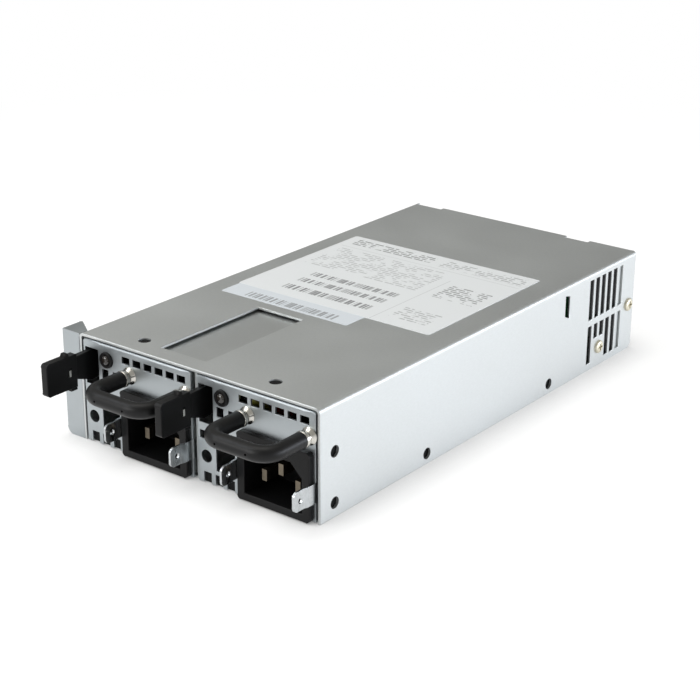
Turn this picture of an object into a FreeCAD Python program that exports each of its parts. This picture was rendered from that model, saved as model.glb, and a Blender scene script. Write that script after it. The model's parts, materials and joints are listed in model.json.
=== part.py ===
"""One-unit-high redundant server supply: a sheet-steel cage with two hot-swap power modules side by side.

The row frame has its origin at the centre of the cage's bottom face. +X is to the right as seen from the
front, +Y runs back through the cage and +Z is up. Cage pieces are drawn from the cage's front left bottom
corner, and module pieces from the front left bottom corner of their own case, then each is placed.
"""
import FreeCAD, Part
import math
import os
from types import SimpleNamespace

import Sketcher

# Driving dimensions in millimetres, as name, value and what it measures
SIZES = [
    ("module_width", 50.0, "module case across"),
    ("module_height", 37.0, "module case, floor to lid"),
    ("module_length", 140.0, "front plate's face to the module's rear wall"),
    ("module_gauge", 0.8, "sheet of the module case and lid"),
    ("plate_gauge", 1.0, "sheet of the module's front plate"),
    ("plate_rise", 0.4, "front plate above the lid"),
    ("plate_drop", 0.7, "front plate below the case floor"),
    ("lid_flange", 4.0, "depth of the lid's side flanges"),
    ("bay_clearance", 0.75, "module to bay wall, each side"),
    ("slide_clearance", 0.3, "module to cage floor"),
    ("top_clearance", 0.9, "lid to cage top"),
    ("cage_gauge", 1.0, "sheet of the cage cover"),
    ("base_gauge", 0.8, "sheet of the cage floor"),
    ("divider_gauge", 1.0, "sheet between the two bays"),
    ("bend_radius", 0.6, "inside radius of the folded edges"),
    ("rear_room", 44.8, "wiring space behind the backplane"),
    ("rear_gauge", 1.0, "sheet of the rear panel"),
    ("rear_flange", 11.0, "rear panel's side flanges"),
    ("rear_corner", 3.0, "rounding of the cover's lower rear corners"),
    ("socket_gap", 0.6, "module's rear wall to its socket"),
    ("socket_depth", 10.0, "backplane socket, front to board"),
    ("socket_width", 42.0, "backplane socket across"),
    ("socket_height", 7.6, "backplane socket, bottom to top"),
    ("backplane_gauge", 1.6, "backplane board"),
    ("backplane_margin", 1.2, "backplane board to the cage wall"),
    ("frame_width", 11.0, "uprights of the backplane bracket"),
    ("bracket_flange", 9.0, "side flanges of the backplane bracket"),
    ("side_hole_radius", 2.1, "threaded holes in the cage sides"),
    ("front_hole_y", 7.4, "front pair of side holes behind the front edge"),
    ("front_hole_low", 5.2, "height of the lower front hole"),
    ("front_hole_spacing", 18.0, "lower to upper front hole"),
    ("low_hole_y", 57.9, "first low side hole behind the front edge"),
    ("low_hole_height", 3.9, "height of the low side holes"),
    ("low_hole_spacing", 78.1, "first to second low side hole"),
    ("side_vent_rear", 33.1, "first column of side vents from the rear edge"),
    ("side_vent_pitch", 4.4, "column to column"),
    ("side_vent_columns", 6, "columns of side vents"),
    ("side_vent_width", 2.9, "one side vent"),
    ("upper_vent_low", 20.8, "bottom of the upper row"),
    ("upper_vent_high", 36.9, "top of the upper row"),
    ("lower_vent_low", 2.7, "bottom of the lower row"),
    ("lower_vent_step", 12.2, "bottom of the two short vents over the screw"),
    ("lower_vent_high", 18.1, "top of the lower row"),
    ("slot_lead", 3.4, "lanced slot in front of the backplane board"),
    ("slot_width", 3.1, "lanced slot across"),
    ("slot_low", 26.2, "lowest point of the lanced slot"),
    ("slot_high", 35.8, "highest point of the lanced slot"),
    ("top_hole_radius", 2.25, "holes near the front of the cage top"),
    ("top_hole_x", 22.9, "left top hole from the left wall"),
    ("top_hole_y", 8.5, "top holes behind the front edge"),
    ("top_hole_spacing", 58.1, "top hole to top hole"),
    ("window_x", 31.4, "top window from the left wall"),
    ("window_width", 20.6, "top window across"),
    ("window_y", 7.5, "top window behind the front edge"),
    ("window_length", 50.0, "top window front to back"),
    ("notch_depth", 2.0, "notches in the rear edge of the cage top"),
    ("left_notch_x", 1.4, "left rear notch from the left wall"),
    ("left_notch_width", 12.2, "left rear notch across"),
    ("right_notch_inset", 21.0, "right rear notch from the right wall"),
    ("right_notch_width", 10.7, "right rear notch across"),
    ("floor_tab_rear", 26.1, "middle of the tab folded up from the cage floor, from its rear edge"),
    ("floor_tab_length", 8.8, "tab folded up from the cage floor"),
    ("floor_tab_height", 12.0, "tab folded up from the cage floor"),
    ("ear_reach", 8.5, "chassis ear beyond the cage wall"),
    ("ear_gauge", 1.0, "sheet of the chassis ear"),
    ("ear_depth", 13.0, "chassis ear along the cage wall"),
    ("ear_corner", 5.0, "rounded corner of the ear's top flange"),
    ("ear_edge_radius", 3.0, "rounded lower corner of the ear"),
    ("rear_vent_width", 3.0, "slots in the rear panel"),
    ("rear_vent_height", 13.0, "slots in the rear panel"),
    ("rear_vent_pitch", 5.0, "slot to slot"),
    ("rear_vent_count", 11, "slots in each row of the rear panel"),
    ("rear_vent_x", 44.0, "first rear slot from the left wall"),
    ("rear_vent_low", 5.0, "bottom of the lower rear row"),
    ("rear_vent_row", 16.0, "row to row"),
    ("bushing_x", 22.0, "cable exit from the left wall"),
    ("bushing_z", 19.5, "cable exit above the floor"),
    ("bushing_width", 24.0, "hole in the rear panel"),
    ("bushing_height", 18.0, "hole in the rear panel"),
    ("bushing_wall", 1.6, "bushing's neck"),
    ("bushing_rim", 2.0, "bushing's rim outside its hole"),
    ("bushing_lip", 1.8, "thickness of the rim and the lip"),
    ("latch_slot_y", 15.6, "front of the slots that take the latch tooth"),
    ("latch_slot_length", 7.0, "slots that take the latch tooth"),
    ("latch_slot_low", 24.4, "bottom of those slots in the module"),
    ("latch_slot_height", 7.8, "height of those slots"),
    ("latch_clearance", 0.4, "lever to the case wall"),
    ("lever_gauge", 2.0, "lever arm"),
    ("lever_tab_extra", 0.4, "how much thicker the finger tab is, each face"),
    ("lever_low", 23.0, "bottom of the lever arm in the case"),
    ("lever_high", 31.0, "top of the lever arm in the case"),
    ("lever_mouth_low", 22.7, "bottom of the stem at the plate"),
    ("lever_mouth_high", 33.6, "top of the stem at the plate"),
    ("stem_reach", 6.7, "stem in front of the plate"),
    ("tab_reach", 20.5, "finger tab in front of the plate"),
    ("tab_low", 22.4, "bottom of the finger tab"),
    ("tab_high", 34.4, "top of the finger tab"),
    ("tab_step", 1.3, "lower step at the tab's root"),
    ("tab_ridge", 1.2, "thumb ridge on the tab's top edge"),
    ("tab_ridge_y", 11.0, "thumb ridge in front of the plate"),
    ("tab_round", 1.4, "front corners of the tab"),
    ("tab_slot_width", 1.1, "slot through the tab"),
    ("tab_slot_height", 3.0, "slot through the tab"),
    ("tooth_y", 16.8, "front of the latch tooth"),
    ("tooth_length", 4.5, "latch tooth front to back"),
    ("tooth_land", 1.4, "flat tip of the latch tooth"),
    ("tooth_gap", 0.35, "tooth tip to the bay wall"),
    ("pin_radius", 1.25, "latch pivot pin"),
    ("pin_fit", 0.05, "lever bore over the pin"),
    ("pin_x", 4.3, "pivot from the case's left face"),
    ("pin_y", 36.0, "pivot behind the plate's face"),
    ("boss_radius", 3.0, "lever boss round the pin"),
    ("ear_clearance", 0.3, "lever boss to the pivot ears"),
    ("pivot_ear_length", 9.0, "pivot ears along the case wall"),
    ("pivot_ear_width", 6.8, "pivot ears across"),
    ("tail_length", 11.0, "lever tail behind the pivot"),
    ("tail_gauge", 2.0, "lever tail across"),
    ("leaf_gauge", 0.25, "leaf spring strip"),
    ("leaf_length", 8.6, "leaf spring foot"),
    ("leaf_height", 5.0, "leaf spring strip top to bottom"),
    ("latch_mouth_low", 21.0, "latch opening in the front plate"),
    ("latch_mouth_high", 34.5, "latch opening in the front plate"),
    ("latch_mouth_right", 7.0, "latch opening in the front plate"),
    ("led_x", 11.15, "lamp holder from the case's left face"),
    ("led_z", 31.9, "lamp holder above the case floor"),
    ("led_barrel_radius", 2.9, "barrel of the lamp holder"),
    ("led_lens_radius", 1.5, "lamp"),
    ("led_lens_reach", 0.8, "lamp in front of its holder"),
    ("led_fit", 0.05, "lamp holder in its hole"),
    ("led_reach", 0.9, "lamp holder in front of the plate"),
    ("led_barrel_length", 6.0, "holder behind the plate"),
    ("top_vent_inset", 2.55, "last vent of the top row from the module's right side"),
    ("top_vent_width", 3.7, "top row vents"),
    ("top_vent_low", 32.4, "top row vents"),
    ("top_vent_height", 2.6, "top row vents"),
    ("vent_pitch", 5.1, "vent to vent on the front plate"),
    ("top_vent_count", 6, "vents in the top row"),
    ("small_vent_width", 3.05, "two vents under the lamp"),
    ("small_vent_height", 3.5, "two vents under the lamp"),
    ("small_vent_x", 8.5, "first vent under the lamp"),
    ("small_vent_low", 24.6, "vents under the lamp"),
    ("middle_vent_x", 0.9, "first vent of the middle row"),
    ("middle_vent_low", 15.1, "vents of the middle row"),
    ("middle_vent_size", 3.0, "vents of the middle row"),
    ("middle_vent_count", 3, "vents in the middle row"),
    ("round_hole_x", 3.75, "round hole low on the plate"),
    ("round_hole_z", 9.1, "round hole low on the plate"),
    ("round_hole_radius", 2.3, "round hole low on the plate"),
    ("big_vent_x", 7.9, "large opening beside the inlet"),
    ("big_vent_width", 8.3, "large opening beside the inlet"),
    ("big_vent_low", 4.7, "large opening beside the inlet"),
    ("big_vent_high", 13.5, "large opening beside the inlet"),
    ("bottom_vent_x", 2.3, "first notch in the plate's lower edge"),
    ("bottom_vent_width", 3.35, "notches in the plate's lower edge"),
    ("bottom_vent_high", 3.3, "notches in the plate's lower edge"),
    ("bottom_vent_count", 3, "notches in the plate's lower edge"),
    ("inlet_z", 11.55, "centre of the inlet"),
    ("bezel_lip", 1.6, "bezel beyond the inlet body, each side"),
    ("bezel_height", 24.5, "inlet bezel"),
    ("bezel_reach", 2.3, "inlet bezel in front of the plate"),
    ("bezel_corner", 1.6, "corners of the bezel"),
    ("inlet_body_width", 27.1, "inlet body behind the plate"),
    ("inlet_body_height", 19.8, "inlet body behind the plate"),
    ("inlet_body_depth", 19.0, "inlet body behind the plate's face"),
    ("inlet_wall", 1.55, "inlet body's side walls"),
    ("cavity_height", 16.7, "inlet cavity"),
    ("cavity_drop", 1.1, "cavity centre below the bezel's centre"),
    ("cavity_chamfer", 4.7, "upper corners of the cavity"),
    ("cavity_depth", 16.0, "inlet cavity from the bezel's face"),
    ("blade_spacing", 14.0, "live to neutral blade"),
    ("blade_step", 4.0, "earth blade above the other two"),
    ("blade_width", 2.0, "contact blade"),
    ("blade_height", 4.0, "contact blade"),
    ("blade_recess", 4.3, "blade tips behind the bezel's face"),
    ("blade_tail", 6.0, "blade behind the inlet body"),
    ("retainer_gauge", 0.8, "cord retainer tabs"),
    ("retainer_reach", 10.2, "cord retainer tabs in front of the plate"),
    ("retainer_height", 7.0, "cord retainer tabs"),
    ("retainer_low", 6.2, "cord retainer tabs above the case floor"),
    ("retainer_joggle_y", 4.0, "where the retainer tab steps inwards"),
    ("retainer_joggle", 0.5, "how far the retainer tab steps inwards"),
    ("retainer_foot_gap", 0.1, "foot of the retainer tab to the inlet body"),
    ("retainer_round", 2.0, "outer corners of the retainer tabs"),
    ("retainer_hole_radius", 1.0, "hole for the retaining clip"),
    ("retainer_hole_reach", 7.0, "that hole in front of the plate"),
    ("handle_inset", 2.4, "right leg of the handle from the module's right side"),
    ("handle_spacing", 25.6, "leg to leg"),
    ("handle_z", 28.9, "handle above the case floor"),
    ("handle_reach", 20.2, "handle bar in front of the plate"),
    ("handle_bend", 6.0, "handle bend at the bar's centre line"),
    ("handle_turns", 3, "even turns that make up each bend of the grip"),
    ("grip_radius", 2.8, "handle grip"),
    ("ferrule_radius", 2.4, "steel ferrule between grip and plate"),
    ("ferrule_length", 3.0, "ferrule in front of the plate"),
    ("inner_flats", 28, "flats that stand for a round face on the inner parts"),
    ("fan_size", 35.0, "square fan frame"),
    ("fan_depth", 20.0, "fan frame front to back"),
    ("fan_y", 31.0, "fan frame behind the plate's face"),
    ("fan_side_gap", 0.3, "fan frame to the right case wall"),
    ("duct_radius", 16.6, "round duct of the fan"),
    ("fan_hub_radius", 8.0, "fan hub"),
    ("fan_hub_plate", 2.5, "motor plate of the fan frame"),
    ("fan_strut_width", 2.0, "struts of the fan frame"),
    ("fan_strut_count", 4, "struts of the fan frame"),
    ("rotor_gap", 0.3, "rotor to the motor plate"),
    ("rotor_length", 14.0, "rotor hub"),
    ("rotor_tip", 15.4, "blade tips from the axis"),
    ("rotor_blade_count", 5, "fan blades"),
    ("rotor_blade_gauge", 0.9, "fan blade"),
    ("rotor_pitch", 0.7, "blade's rise round the hub for each millimetre along it"),
    ("rotor_blade_chord", 10.0, "blade along the hub"),
    ("board_gauge", 1.6, "module's main board"),
    ("board_z", 5.0, "underside of the board above the case floor"),
    ("board_side_gap", 1.2, "board to the case wall"),
    ("board_start", 54.0, "front edge of the board"),
    ("board_rear_gap", 3.0, "board to the rear wall"),
    ("tongue_width", 36.0, "card edge that enters the socket"),
    ("tongue_fit", 0.3, "socket slot round the card edge"),
    ("tongue_reach", 8.5, "card edge beyond the rear wall"),
    ("standoff_radius", 2.5, "board standoffs"),
    ("standoff_inset", 4.5, "standoffs in from the board's edges"),
    ("bulk_radius", 11.0, "bulk capacitor"),
    ("bulk_length", 31.0, "bulk capacitor"),
    ("bulk_x", 14.5, "bulk capacitor's axis from the case's left face"),
    ("bulk_y", 57.0, "bulk capacitor behind the plate's face"),
    ("film_gap", 3.0, "film capacitors to the bulk capacitor"),
    ("film_y", 60.0, "first film capacitor behind the plate's face"),
    ("film_inset", 4.5, "film capacitors from the module's right side"),
    ("film_gauge", 8.5, "film capacitors front to back"),
    ("film_height", 15.0, "film capacitors"),
    ("film_pitch", 12.0, "film capacitor to film capacitor"),
    ("film_count", 2, "film capacitors"),
    ("core_width", 24.0, "transformer core"),
    ("core_length", 10.0, "transformer core front to back"),
    ("core_height", 21.0, "transformer core"),
    ("core_yoke", 4.0, "transformer core's outer legs"),
    ("winding_overhang", 4.5, "winding in front of and behind the core"),
    ("transformer_gap", 2.5, "winding behind the bulk capacitor"),
    ("sink_height", 24.0, "heat sinks"),
    ("sink_web", 1.6, "heat sink backs"),
    ("sink_fin", 3.4, "heat sink fins"),
    ("sink_fin_gauge", 1.2, "heat sink fins"),
    ("sink_fin_count", 6, "fins on each heat sink"),
    ("sink_gap", 6.0, "heat sinks behind the bulk capacitor"),
    ("sink_inset", 4.0, "heat sink backs in from the board's edges"),
    ("inductor_width", 11.0, "output inductors across"),
    ("inductor_length", 12.0, "output inductors front to back"),
    ("inductor_height", 13.0, "output inductors"),
    ("inductor_pitch", 13.0, "output inductor to output inductor"),
    ("inductor_count", 2, "output inductors"),
    ("inductor_share", 0.37, "share of the free room that lies in front of the output inductors"),
    ("rear_slot_width", 2.6, "vents in the module's rear wall"),
    ("rear_slot_pitch", 4.6, "vents in the module's rear wall"),
    ("rear_slot_count", 9, "vents in the module's rear wall"),
    ("rear_slot_low", 13.0, "vents in the module's rear wall"),
    ("rear_slot_high", 32.0, "vents in the module's rear wall"),
    ("tongue_room", 1.6, "case opening round the card edge"),
    ("filter_cap_radius", 6.0, "capacitors behind the backplane"),
    ("filter_cap_length", 22.0, "capacitors behind the backplane"),
    ("filter_cap_z", 26.0, "capacitors above the floor"),
    ("filter_cap_x", 23.0, "each capacitor from its cage wall"),
    ("rear_sink_width", 26.0, "heat sink behind the backplane"),
    ("rear_sink_height", 11.0, "heat sink behind the backplane"),
    ("rear_sink_depth", 20.0, "heat sink behind the backplane"),
    ("rear_sink_base", 2.0, "heat sink behind the backplane"),
    ("rear_sink_fins", 6, "fins on the heat sink behind the backplane"),
    ("terminal_width", 6.3, "output terminals"),
    ("terminal_gauge", 0.8, "output terminals"),
    ("terminal_reach", 9.0, "output terminals"),
    ("terminal_pitch", 9.0, "output terminals"),
    ("terminal_count", 3, "output terminals on each side"),
    ("terminal_z", 13.0, "output terminals above the floor"),
]

doc = FreeCAD.newDocument("hot_swap_server_supply")
sheet = doc.addObject("Spreadsheet::Sheet", "Sizes")
finished = []


class Size:
    """A length that holds both its number and the formula over the sheet that gives it."""

    def __init__(self, formula, number):
        self.formula = formula
        self.number = number

    def __add__(self, other):
        return joined(self, "+", other, self.number + number(other))

    def __radd__(self, other):
        return joined(other, "+", self, number(other) + self.number)

    def __sub__(self, other):
        return joined(self, "-", other, self.number - number(other))

    def __rsub__(self, other):
        return joined(other, "-", self, number(other) - self.number)

    def __mul__(self, other):
        return joined(self, "*", other, self.number * number(other))

    def __rmul__(self, other):
        return joined(other, "*", self, number(other) * self.number)

    def __truediv__(self, other):
        return joined(self, "/", other, self.number / number(other))

    def __neg__(self):
        return joined(0, "-", self, -self.number)


def number(value):
    return value.number if isinstance(value, Size) else value


def formula(value):
    return value.formula if isinstance(value, Size) else repr(float(value))


def joined(first, sign, second, result):
    return Size(f"({formula(first)} {sign} {formula(second)})", result)


def fill_sheet():
    """Writes the driving dimensions into the sheet and returns them as named sizes."""
    named = SimpleNamespace()
    for row, (name, value, meaning) in enumerate(SIZES, start=1):
        sheet.set(f"A{row}", name)
        sheet.set(f"B{row}", str(value))
        sheet.set(f"C{row}", meaning)
        sheet.setAlias(f"B{row}", name)
        setattr(named, name, Size(f"Sizes.{name}", value))
    doc.recompute()
    return named


s = fill_sheet()

# Derived sizes of the cage, in the cage's own corner frame
bay_width = s.module_width + 2 * s.bay_clearance
cage_width = 2 * s.cage_gauge + 2 * bay_width + s.divider_gauge
module_floor = s.base_gauge + s.slide_clearance
cage_inside_height = module_floor + s.module_height + s.top_clearance
cage_height = cage_inside_height + s.cage_gauge
socket_front = s.module_length + s.socket_gap
backplane_front = socket_front + s.socket_depth
backplane_rear = backplane_front + s.backplane_gauge
rear_inside = backplane_rear + s.rear_room
cage_length = rear_inside + s.rear_gauge
module_left = [s.cage_gauge + s.bay_clearance]
module_left.append(module_left[0] + bay_width + s.divider_gauge)
divider_left = s.cage_gauge + bay_width
side_vent_y = cage_length - s.side_vent_rear
side_slot_y = backplane_front - s.slot_lead
floor_tab_y = cage_length - s.floor_tab_rear
right_notch_x = cage_width - s.right_notch_inset - s.right_notch_width

# Derived sizes of a module, in its own corner frame
wall_top = s.module_height - s.module_gauge
board_top = s.board_z + s.board_gauge
board_end = s.module_length - s.board_rear_gap
board_left = s.module_gauge + s.board_side_gap
board_right = s.module_width - board_left
tongue_left = (s.module_width - s.tongue_width) / 2
tongue_right = tongue_left + s.tongue_width
lever_left = s.module_gauge + s.latch_clearance
lever_right = lever_left + s.lever_gauge
bezel_right = s.module_width - s.retainer_gauge
bezel_left = bezel_right - s.inlet_body_width - 2 * s.bezel_lip
inlet_x = (bezel_left + bezel_right) / 2
cavity_z = s.inlet_z - s.cavity_drop
handle_right_x = s.module_width - s.handle_inset
handle_left_x = handle_right_x - s.handle_spacing
top_vent_x = s.module_width - s.top_vent_inset - s.top_vent_width - (s.top_vent_count - 1) * s.vent_pitch
fan_x = s.module_width - s.module_gauge - s.fan_side_gap - s.fan_size / 2
fan_z = s.module_gauge + s.fan_size / 2
fan_rear = s.fan_y + s.fan_depth
bulk_rear = s.bulk_y + s.bulk_length
film_x = s.bulk_x + s.bulk_radius + s.film_gap
film_right = s.module_width - s.film_inset
winding_front = bulk_rear + s.transformer_gap
core_front = winding_front + s.winding_overhang
core_rear = core_front + s.core_length
winding_rear = core_rear + s.winding_overhang
inductor_room = s.module_length - s.module_gauge - s.inductor_length - winding_rear
inductor_y = winding_rear + inductor_room * s.inductor_share
inductor_rear = inductor_y + s.inductor_length
sink_y = bulk_rear + s.sink_gap

PLANES = {"X": ("YZ_Plane", 1), "Y": ("XZ_Plane", -1), "Z": ("XY_Plane", 1)}


def bind(thing, **values):
    """Sets properties, tying each one that is a size to the sheet."""
    for name, value in values.items():
        if isinstance(value, Size):
            thing.setExpression(name, value.formula)
        else:
            setattr(thing, name, value)


def place(thing, x=0.0, y=0.0, z=0.0):
    for axis, value in zip("xyz", (x, y, z)):
        thing.setExpression(f"Placement.Base.{axis}", formula(value))
    return thing


def in_cage(thing):
    """Places a piece drawn from the cage's corner, and keeps it for the hand-in."""
    finished.append(thing)
    return place(thing, -cage_width / 2, -cage_length / 2)


def in_module(thing, index, x=0.0, y=0.0, z=0.0):
    """Places a piece drawn from a module's corner, and keeps it for the hand-in."""
    finished.append(thing)
    left = module_left[index] - cage_width / 2 + x
    return place(thing, left, y - cage_length / 2, module_floor + z)


# Profiles for sketches: a rectangle, a polygon or a circle
def rectangle(across, along):
    (left, right), (low, high) = across, along
    return [(left, low), (right, low), (right, high), (left, high)]


def polygon(u, v, radius, sides):
    """A regular polygon round a centre, with its corners at the radius."""
    turns = [2 * math.pi * side / sides for side in range(sides)]
    return [(u + radius * math.cos(turn), v + radius * math.sin(turn)) for turn in turns]


def circle(u, v, radius):
    return {"centre": (u, v), "radius": radius}


def datum(body, role):
    return next(feature for feature in body.Origin.OriginFeatures if feature.Role == role)


def fix_point(sketch, index, position, point):
    """Ties one point of a sketch to its two coordinates."""
    for kind, value in zip(("DistanceX", "DistanceY"), point):
        rule = sketch.addConstraint(Sketcher.Constraint(kind, -1, 1, index, position, number(value)))
        sketch.setExpression(f"Constraints[{rule}]", formula(value))


def draw_circle(sketch, loop):
    centre = FreeCAD.Vector(*(number(value) for value in loop["centre"]), 0)
    index = sketch.addGeometry(Part.Circle(centre, FreeCAD.Vector(0, 0, 1), number(loop["radius"])), False)
    fix_point(sketch, index, 3, loop["centre"])
    rule = sketch.addConstraint(Sketcher.Constraint("Radius", index, number(loop["radius"])))
    sketch.setExpression(f"Constraints[{rule}]", formula(loop["radius"]))


def draw_polygon(sketch, loop):
    corners = [FreeCAD.Vector(number(u), number(v), 0) for u, v in loop]
    first = sketch.GeometryCount
    count = len(loop)
    for index in range(count):
        sketch.addGeometry(Part.LineSegment(corners[index], corners[(index + 1) % count]), False)
    for index in range(count):
        follower = first + (index + 1) % count
        sketch.addConstraint(Sketcher.Constraint("Coincident", first + index, 2, follower, 1))
    for index, point in enumerate(loop):
        fix_point(sketch, first + index, 1, point)


def draw_line(sketch, points):
    """An open line from point to point."""
    corners = [FreeCAD.Vector(number(u), number(v), 0) for u, v in points]
    for index, (start, end) in enumerate(zip(corners, corners[1:])):
        sketch.addGeometry(Part.LineSegment(start, end), False)
        if index:
            sketch.addConstraint(Sketcher.Constraint("Coincident", index - 1, 2, index, 1))
    for index, point in enumerate(points[:-1]):
        fix_point(sketch, index, 1, point)
    fix_point(sketch, len(points) - 2, 2, points[-1])


def sketch_on(body, axis, at, loops):
    """Draws closed loops on the plane across an axis, at a distance along it."""
    role, sign = PLANES[axis]
    sketch = body.newObject("Sketcher::SketchObject", "Sketch")
    sketch.AttachmentSupport = [(datum(body, role), "")]
    sketch.MapMode = "FlatFace"
    sketch.setExpression("AttachmentOffset.Base.z", formula(at * sign))
    for loop in loops:
        if isinstance(loop, dict):
            draw_circle(sketch, loop)
        else:
            draw_polygon(sketch, loop)
    return sketch


def new_body(label):
    return doc.addObject("PartDesign::Body", label)


def pad(body, axis, span, *loops):
    """Adds the loops from the low to the high end of the span along an axis."""
    low, high = span
    feature = body.newObject("PartDesign::Pad", "Pad")
    feature.Profile = sketch_on(body, axis, low, loops)
    bind(feature, Length=high - low)
    feature.Reversed = PLANES[axis][1] < 0
    return feature


def pocket(body, axis, span, *loops):
    """Cuts the loops from the low to the high end of the span along an axis."""
    low, high = span
    feature = body.newObject("PartDesign::Pocket", "Pocket")
    feature.Profile = sketch_on(body, axis, low, loops)
    bind(feature, Length=high - low)
    feature.Reversed = PLANES[axis][1] > 0
    return feature


def row_of(body, feature, axis, pitch, count):
    """Repeats a feature along an axis."""
    pattern = body.newObject("PartDesign::LinearPattern", "Row")
    pattern.Originals = [feature]
    pattern.Direction = (datum(body, f"{axis}_Axis"), [""])
    bind(pattern, Length=pitch * (count - 1), Occurrences=count)
    body.Tip = pattern
    return pattern


def ring_of(body, feature, axis, count):
    """Repeats a feature round an axis of the body."""
    pattern = body.newObject("PartDesign::PolarPattern", "Ring")
    pattern.Originals = [feature]
    pattern.Axis = (datum(body, f"{axis}_Axis"), [""])
    pattern.Angle = 360
    bind(pattern, Occurrences=count)
    body.Tip = pattern
    return pattern


def edges_along(feature, axis, **limits):
    """Names the straight edges along an axis that lie at the given places, such as z=12."""
    doc.recompute()
    names = []
    for index, edge in enumerate(feature.Shape.Edges, start=1):
        if edge.Curve.TypeId != "Part::GeomLine":
            continue
        direction = edge.Curve.Direction
        if abs(getattr(direction, axis.lower())) < 0.999:
            continue
        middle = edge.CenterOfMass
        if all(abs(getattr(middle, name) - number(value)) < 0.01 for name, value in limits.items()):
            names.append(f"Edge{index}")
    return names


def fillet(body, feature, edges, radius):
    rounding = body.newObject("PartDesign::Fillet", "Fillet")
    rounding.Base = (feature, edges)
    bind(rounding, Radius=radius)
    return rounding


def box(x, y, z):
    """A block from the low to the high end of each axis."""
    made = doc.addObject("Part::Box", "Block")
    bind(made, Length=x[1] - x[0], Width=y[1] - y[0], Height=z[1] - z[0])
    return place(made, x[0], y[0], z[0])


TURNS = {
    "X": FreeCAD.Rotation(FreeCAD.Vector(0, 1, 0), 90),
    "Y": FreeCAD.Rotation(FreeCAD.Vector(1, 0, 0), -90),
    "Z": FreeCAD.Rotation(),
}


def along(made, axis, centre, start):
    """Turns a round primitive on to an axis and puts its foot at the start."""
    made.Placement = FreeCAD.Placement(FreeCAD.Vector(), TURNS[axis])
    u, v = centre
    at = {"X": (start, u, v), "Y": (u, start, v), "Z": (u, v, start)}[axis]
    return place(made, *at)


def cylinder(axis, centre, span, radius):
    made = doc.addObject("Part::Cylinder", "Round")
    bind(made, Radius=radius, Height=span[1] - span[0])
    return along(made, axis, centre, span[0])


def can(label, spot, span, radius):
    """A round inner part that lies front to back, drawn with even flats to keep its faces few."""
    body = new_body(label)
    pad(body, "Y", span, polygon(*spot, radius, s.inner_flats.number))
    return body


def fuse(*pieces, label="Joined"):
    made = doc.addObject("Part::MultiFuse", label)
    made.Shapes = list(pieces)
    made.Refine = True
    return made


def group(label, *pieces):
    """Several separate solids that are one kind of piece."""
    made = doc.addObject("Part::Compound", label)
    made.Links = list(pieces)
    return made


# Cage pieces

def cage_cover():
    """Top and both sides, folded from one sheet, with the vents, holes and top window."""
    body = new_body("cage_cover")
    inner_left = s.cage_gauge
    inner_right = cage_width - s.cage_gauge
    shell = pad(body, "Y", (0, cage_length), rectangle((0, cage_width), (0, cage_height)))
    outer_radius = s.bend_radius + s.cage_gauge
    shell = fillet(body, shell, edges_along(shell, "Y", z=cage_height), outer_radius)
    shell = pocket(body, "Y", (0, cage_length),
                   rectangle((inner_left, inner_right), (-s.cage_gauge, cage_inside_height)))
    shell = fillet(body, shell, edges_along(shell, "Y", z=cage_inside_height), s.bend_radius)
    lower_rear = edges_along(shell, "X", y=cage_length, z=0)
    fillet(body, shell, lower_rear, s.rear_corner)
    through_sides = (-s.cage_gauge, cage_width + s.cage_gauge)
    cover_side_holes(body, through_sides)
    cover_side_vents(body, through_sides)
    cover_top_cuts(body)
    left_wall = (-s.cage_gauge, 2 * s.cage_gauge)
    pocket(body, "X", left_wall, latch_slot(module_floor))
    in_cage(body)


def latch_slot(floor):
    """The slot that the latch tooth of a module reaches into, in a wall whose floor is given."""
    low = floor + s.latch_slot_low
    return rectangle((s.latch_slot_y, s.latch_slot_y + s.latch_slot_length), (low, low + s.latch_slot_height))


def cover_side_holes(body, through):
    """The fixing holes and the lanced slot, alike in both side walls."""
    front_high = s.front_hole_low + s.front_hole_spacing
    second_low_y = s.low_hole_y + s.low_hole_spacing
    spots = [(s.front_hole_y, s.front_hole_low), (s.front_hole_y, front_high),
             (s.low_hole_y, s.low_hole_height), (second_low_y, s.low_hole_height)]
    holes = [circle(y, z, s.side_hole_radius) for y, z in spots]
    left = side_slot_y - s.slot_width / 2
    right = side_slot_y + s.slot_width / 2
    slant = s.slot_width / 4
    slot = [(left, s.slot_low + 2 * slant), (right, s.slot_low),
            (right, s.slot_high - slant), (left, s.slot_high)]
    pocket(body, "X", through, *holes, slot)


def cover_side_vents(body, through):
    """Two rows of upright vents, with two short ones over the screw in the floor's tab."""
    def column(place_in_row, low, high):
        middle = side_vent_y + place_in_row * s.side_vent_pitch
        return rectangle((middle - s.side_vent_width / 2, middle + s.side_vent_width / 2), (low, high))

    upper = pocket(body, "X", through, column(0, s.upper_vent_low, s.upper_vent_high))
    row_of(body, upper, "Y", s.side_vent_pitch, s.side_vent_columns)
    short = pocket(body, "X", through, column(0, s.lower_vent_step, s.lower_vent_high))
    row_of(body, short, "Y", s.side_vent_pitch, s.side_vent_columns)
    over_screw = (1, 2)
    long_columns = [place_in_row for place_in_row in range(s.side_vent_columns.number)
                    if place_in_row not in over_screw]
    overlap = s.side_vent_width / 4
    pocket(body, "X", through, *(column(place_in_row, s.lower_vent_low, s.lower_vent_step + overlap)
                                 for place_in_row in long_columns))


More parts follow.
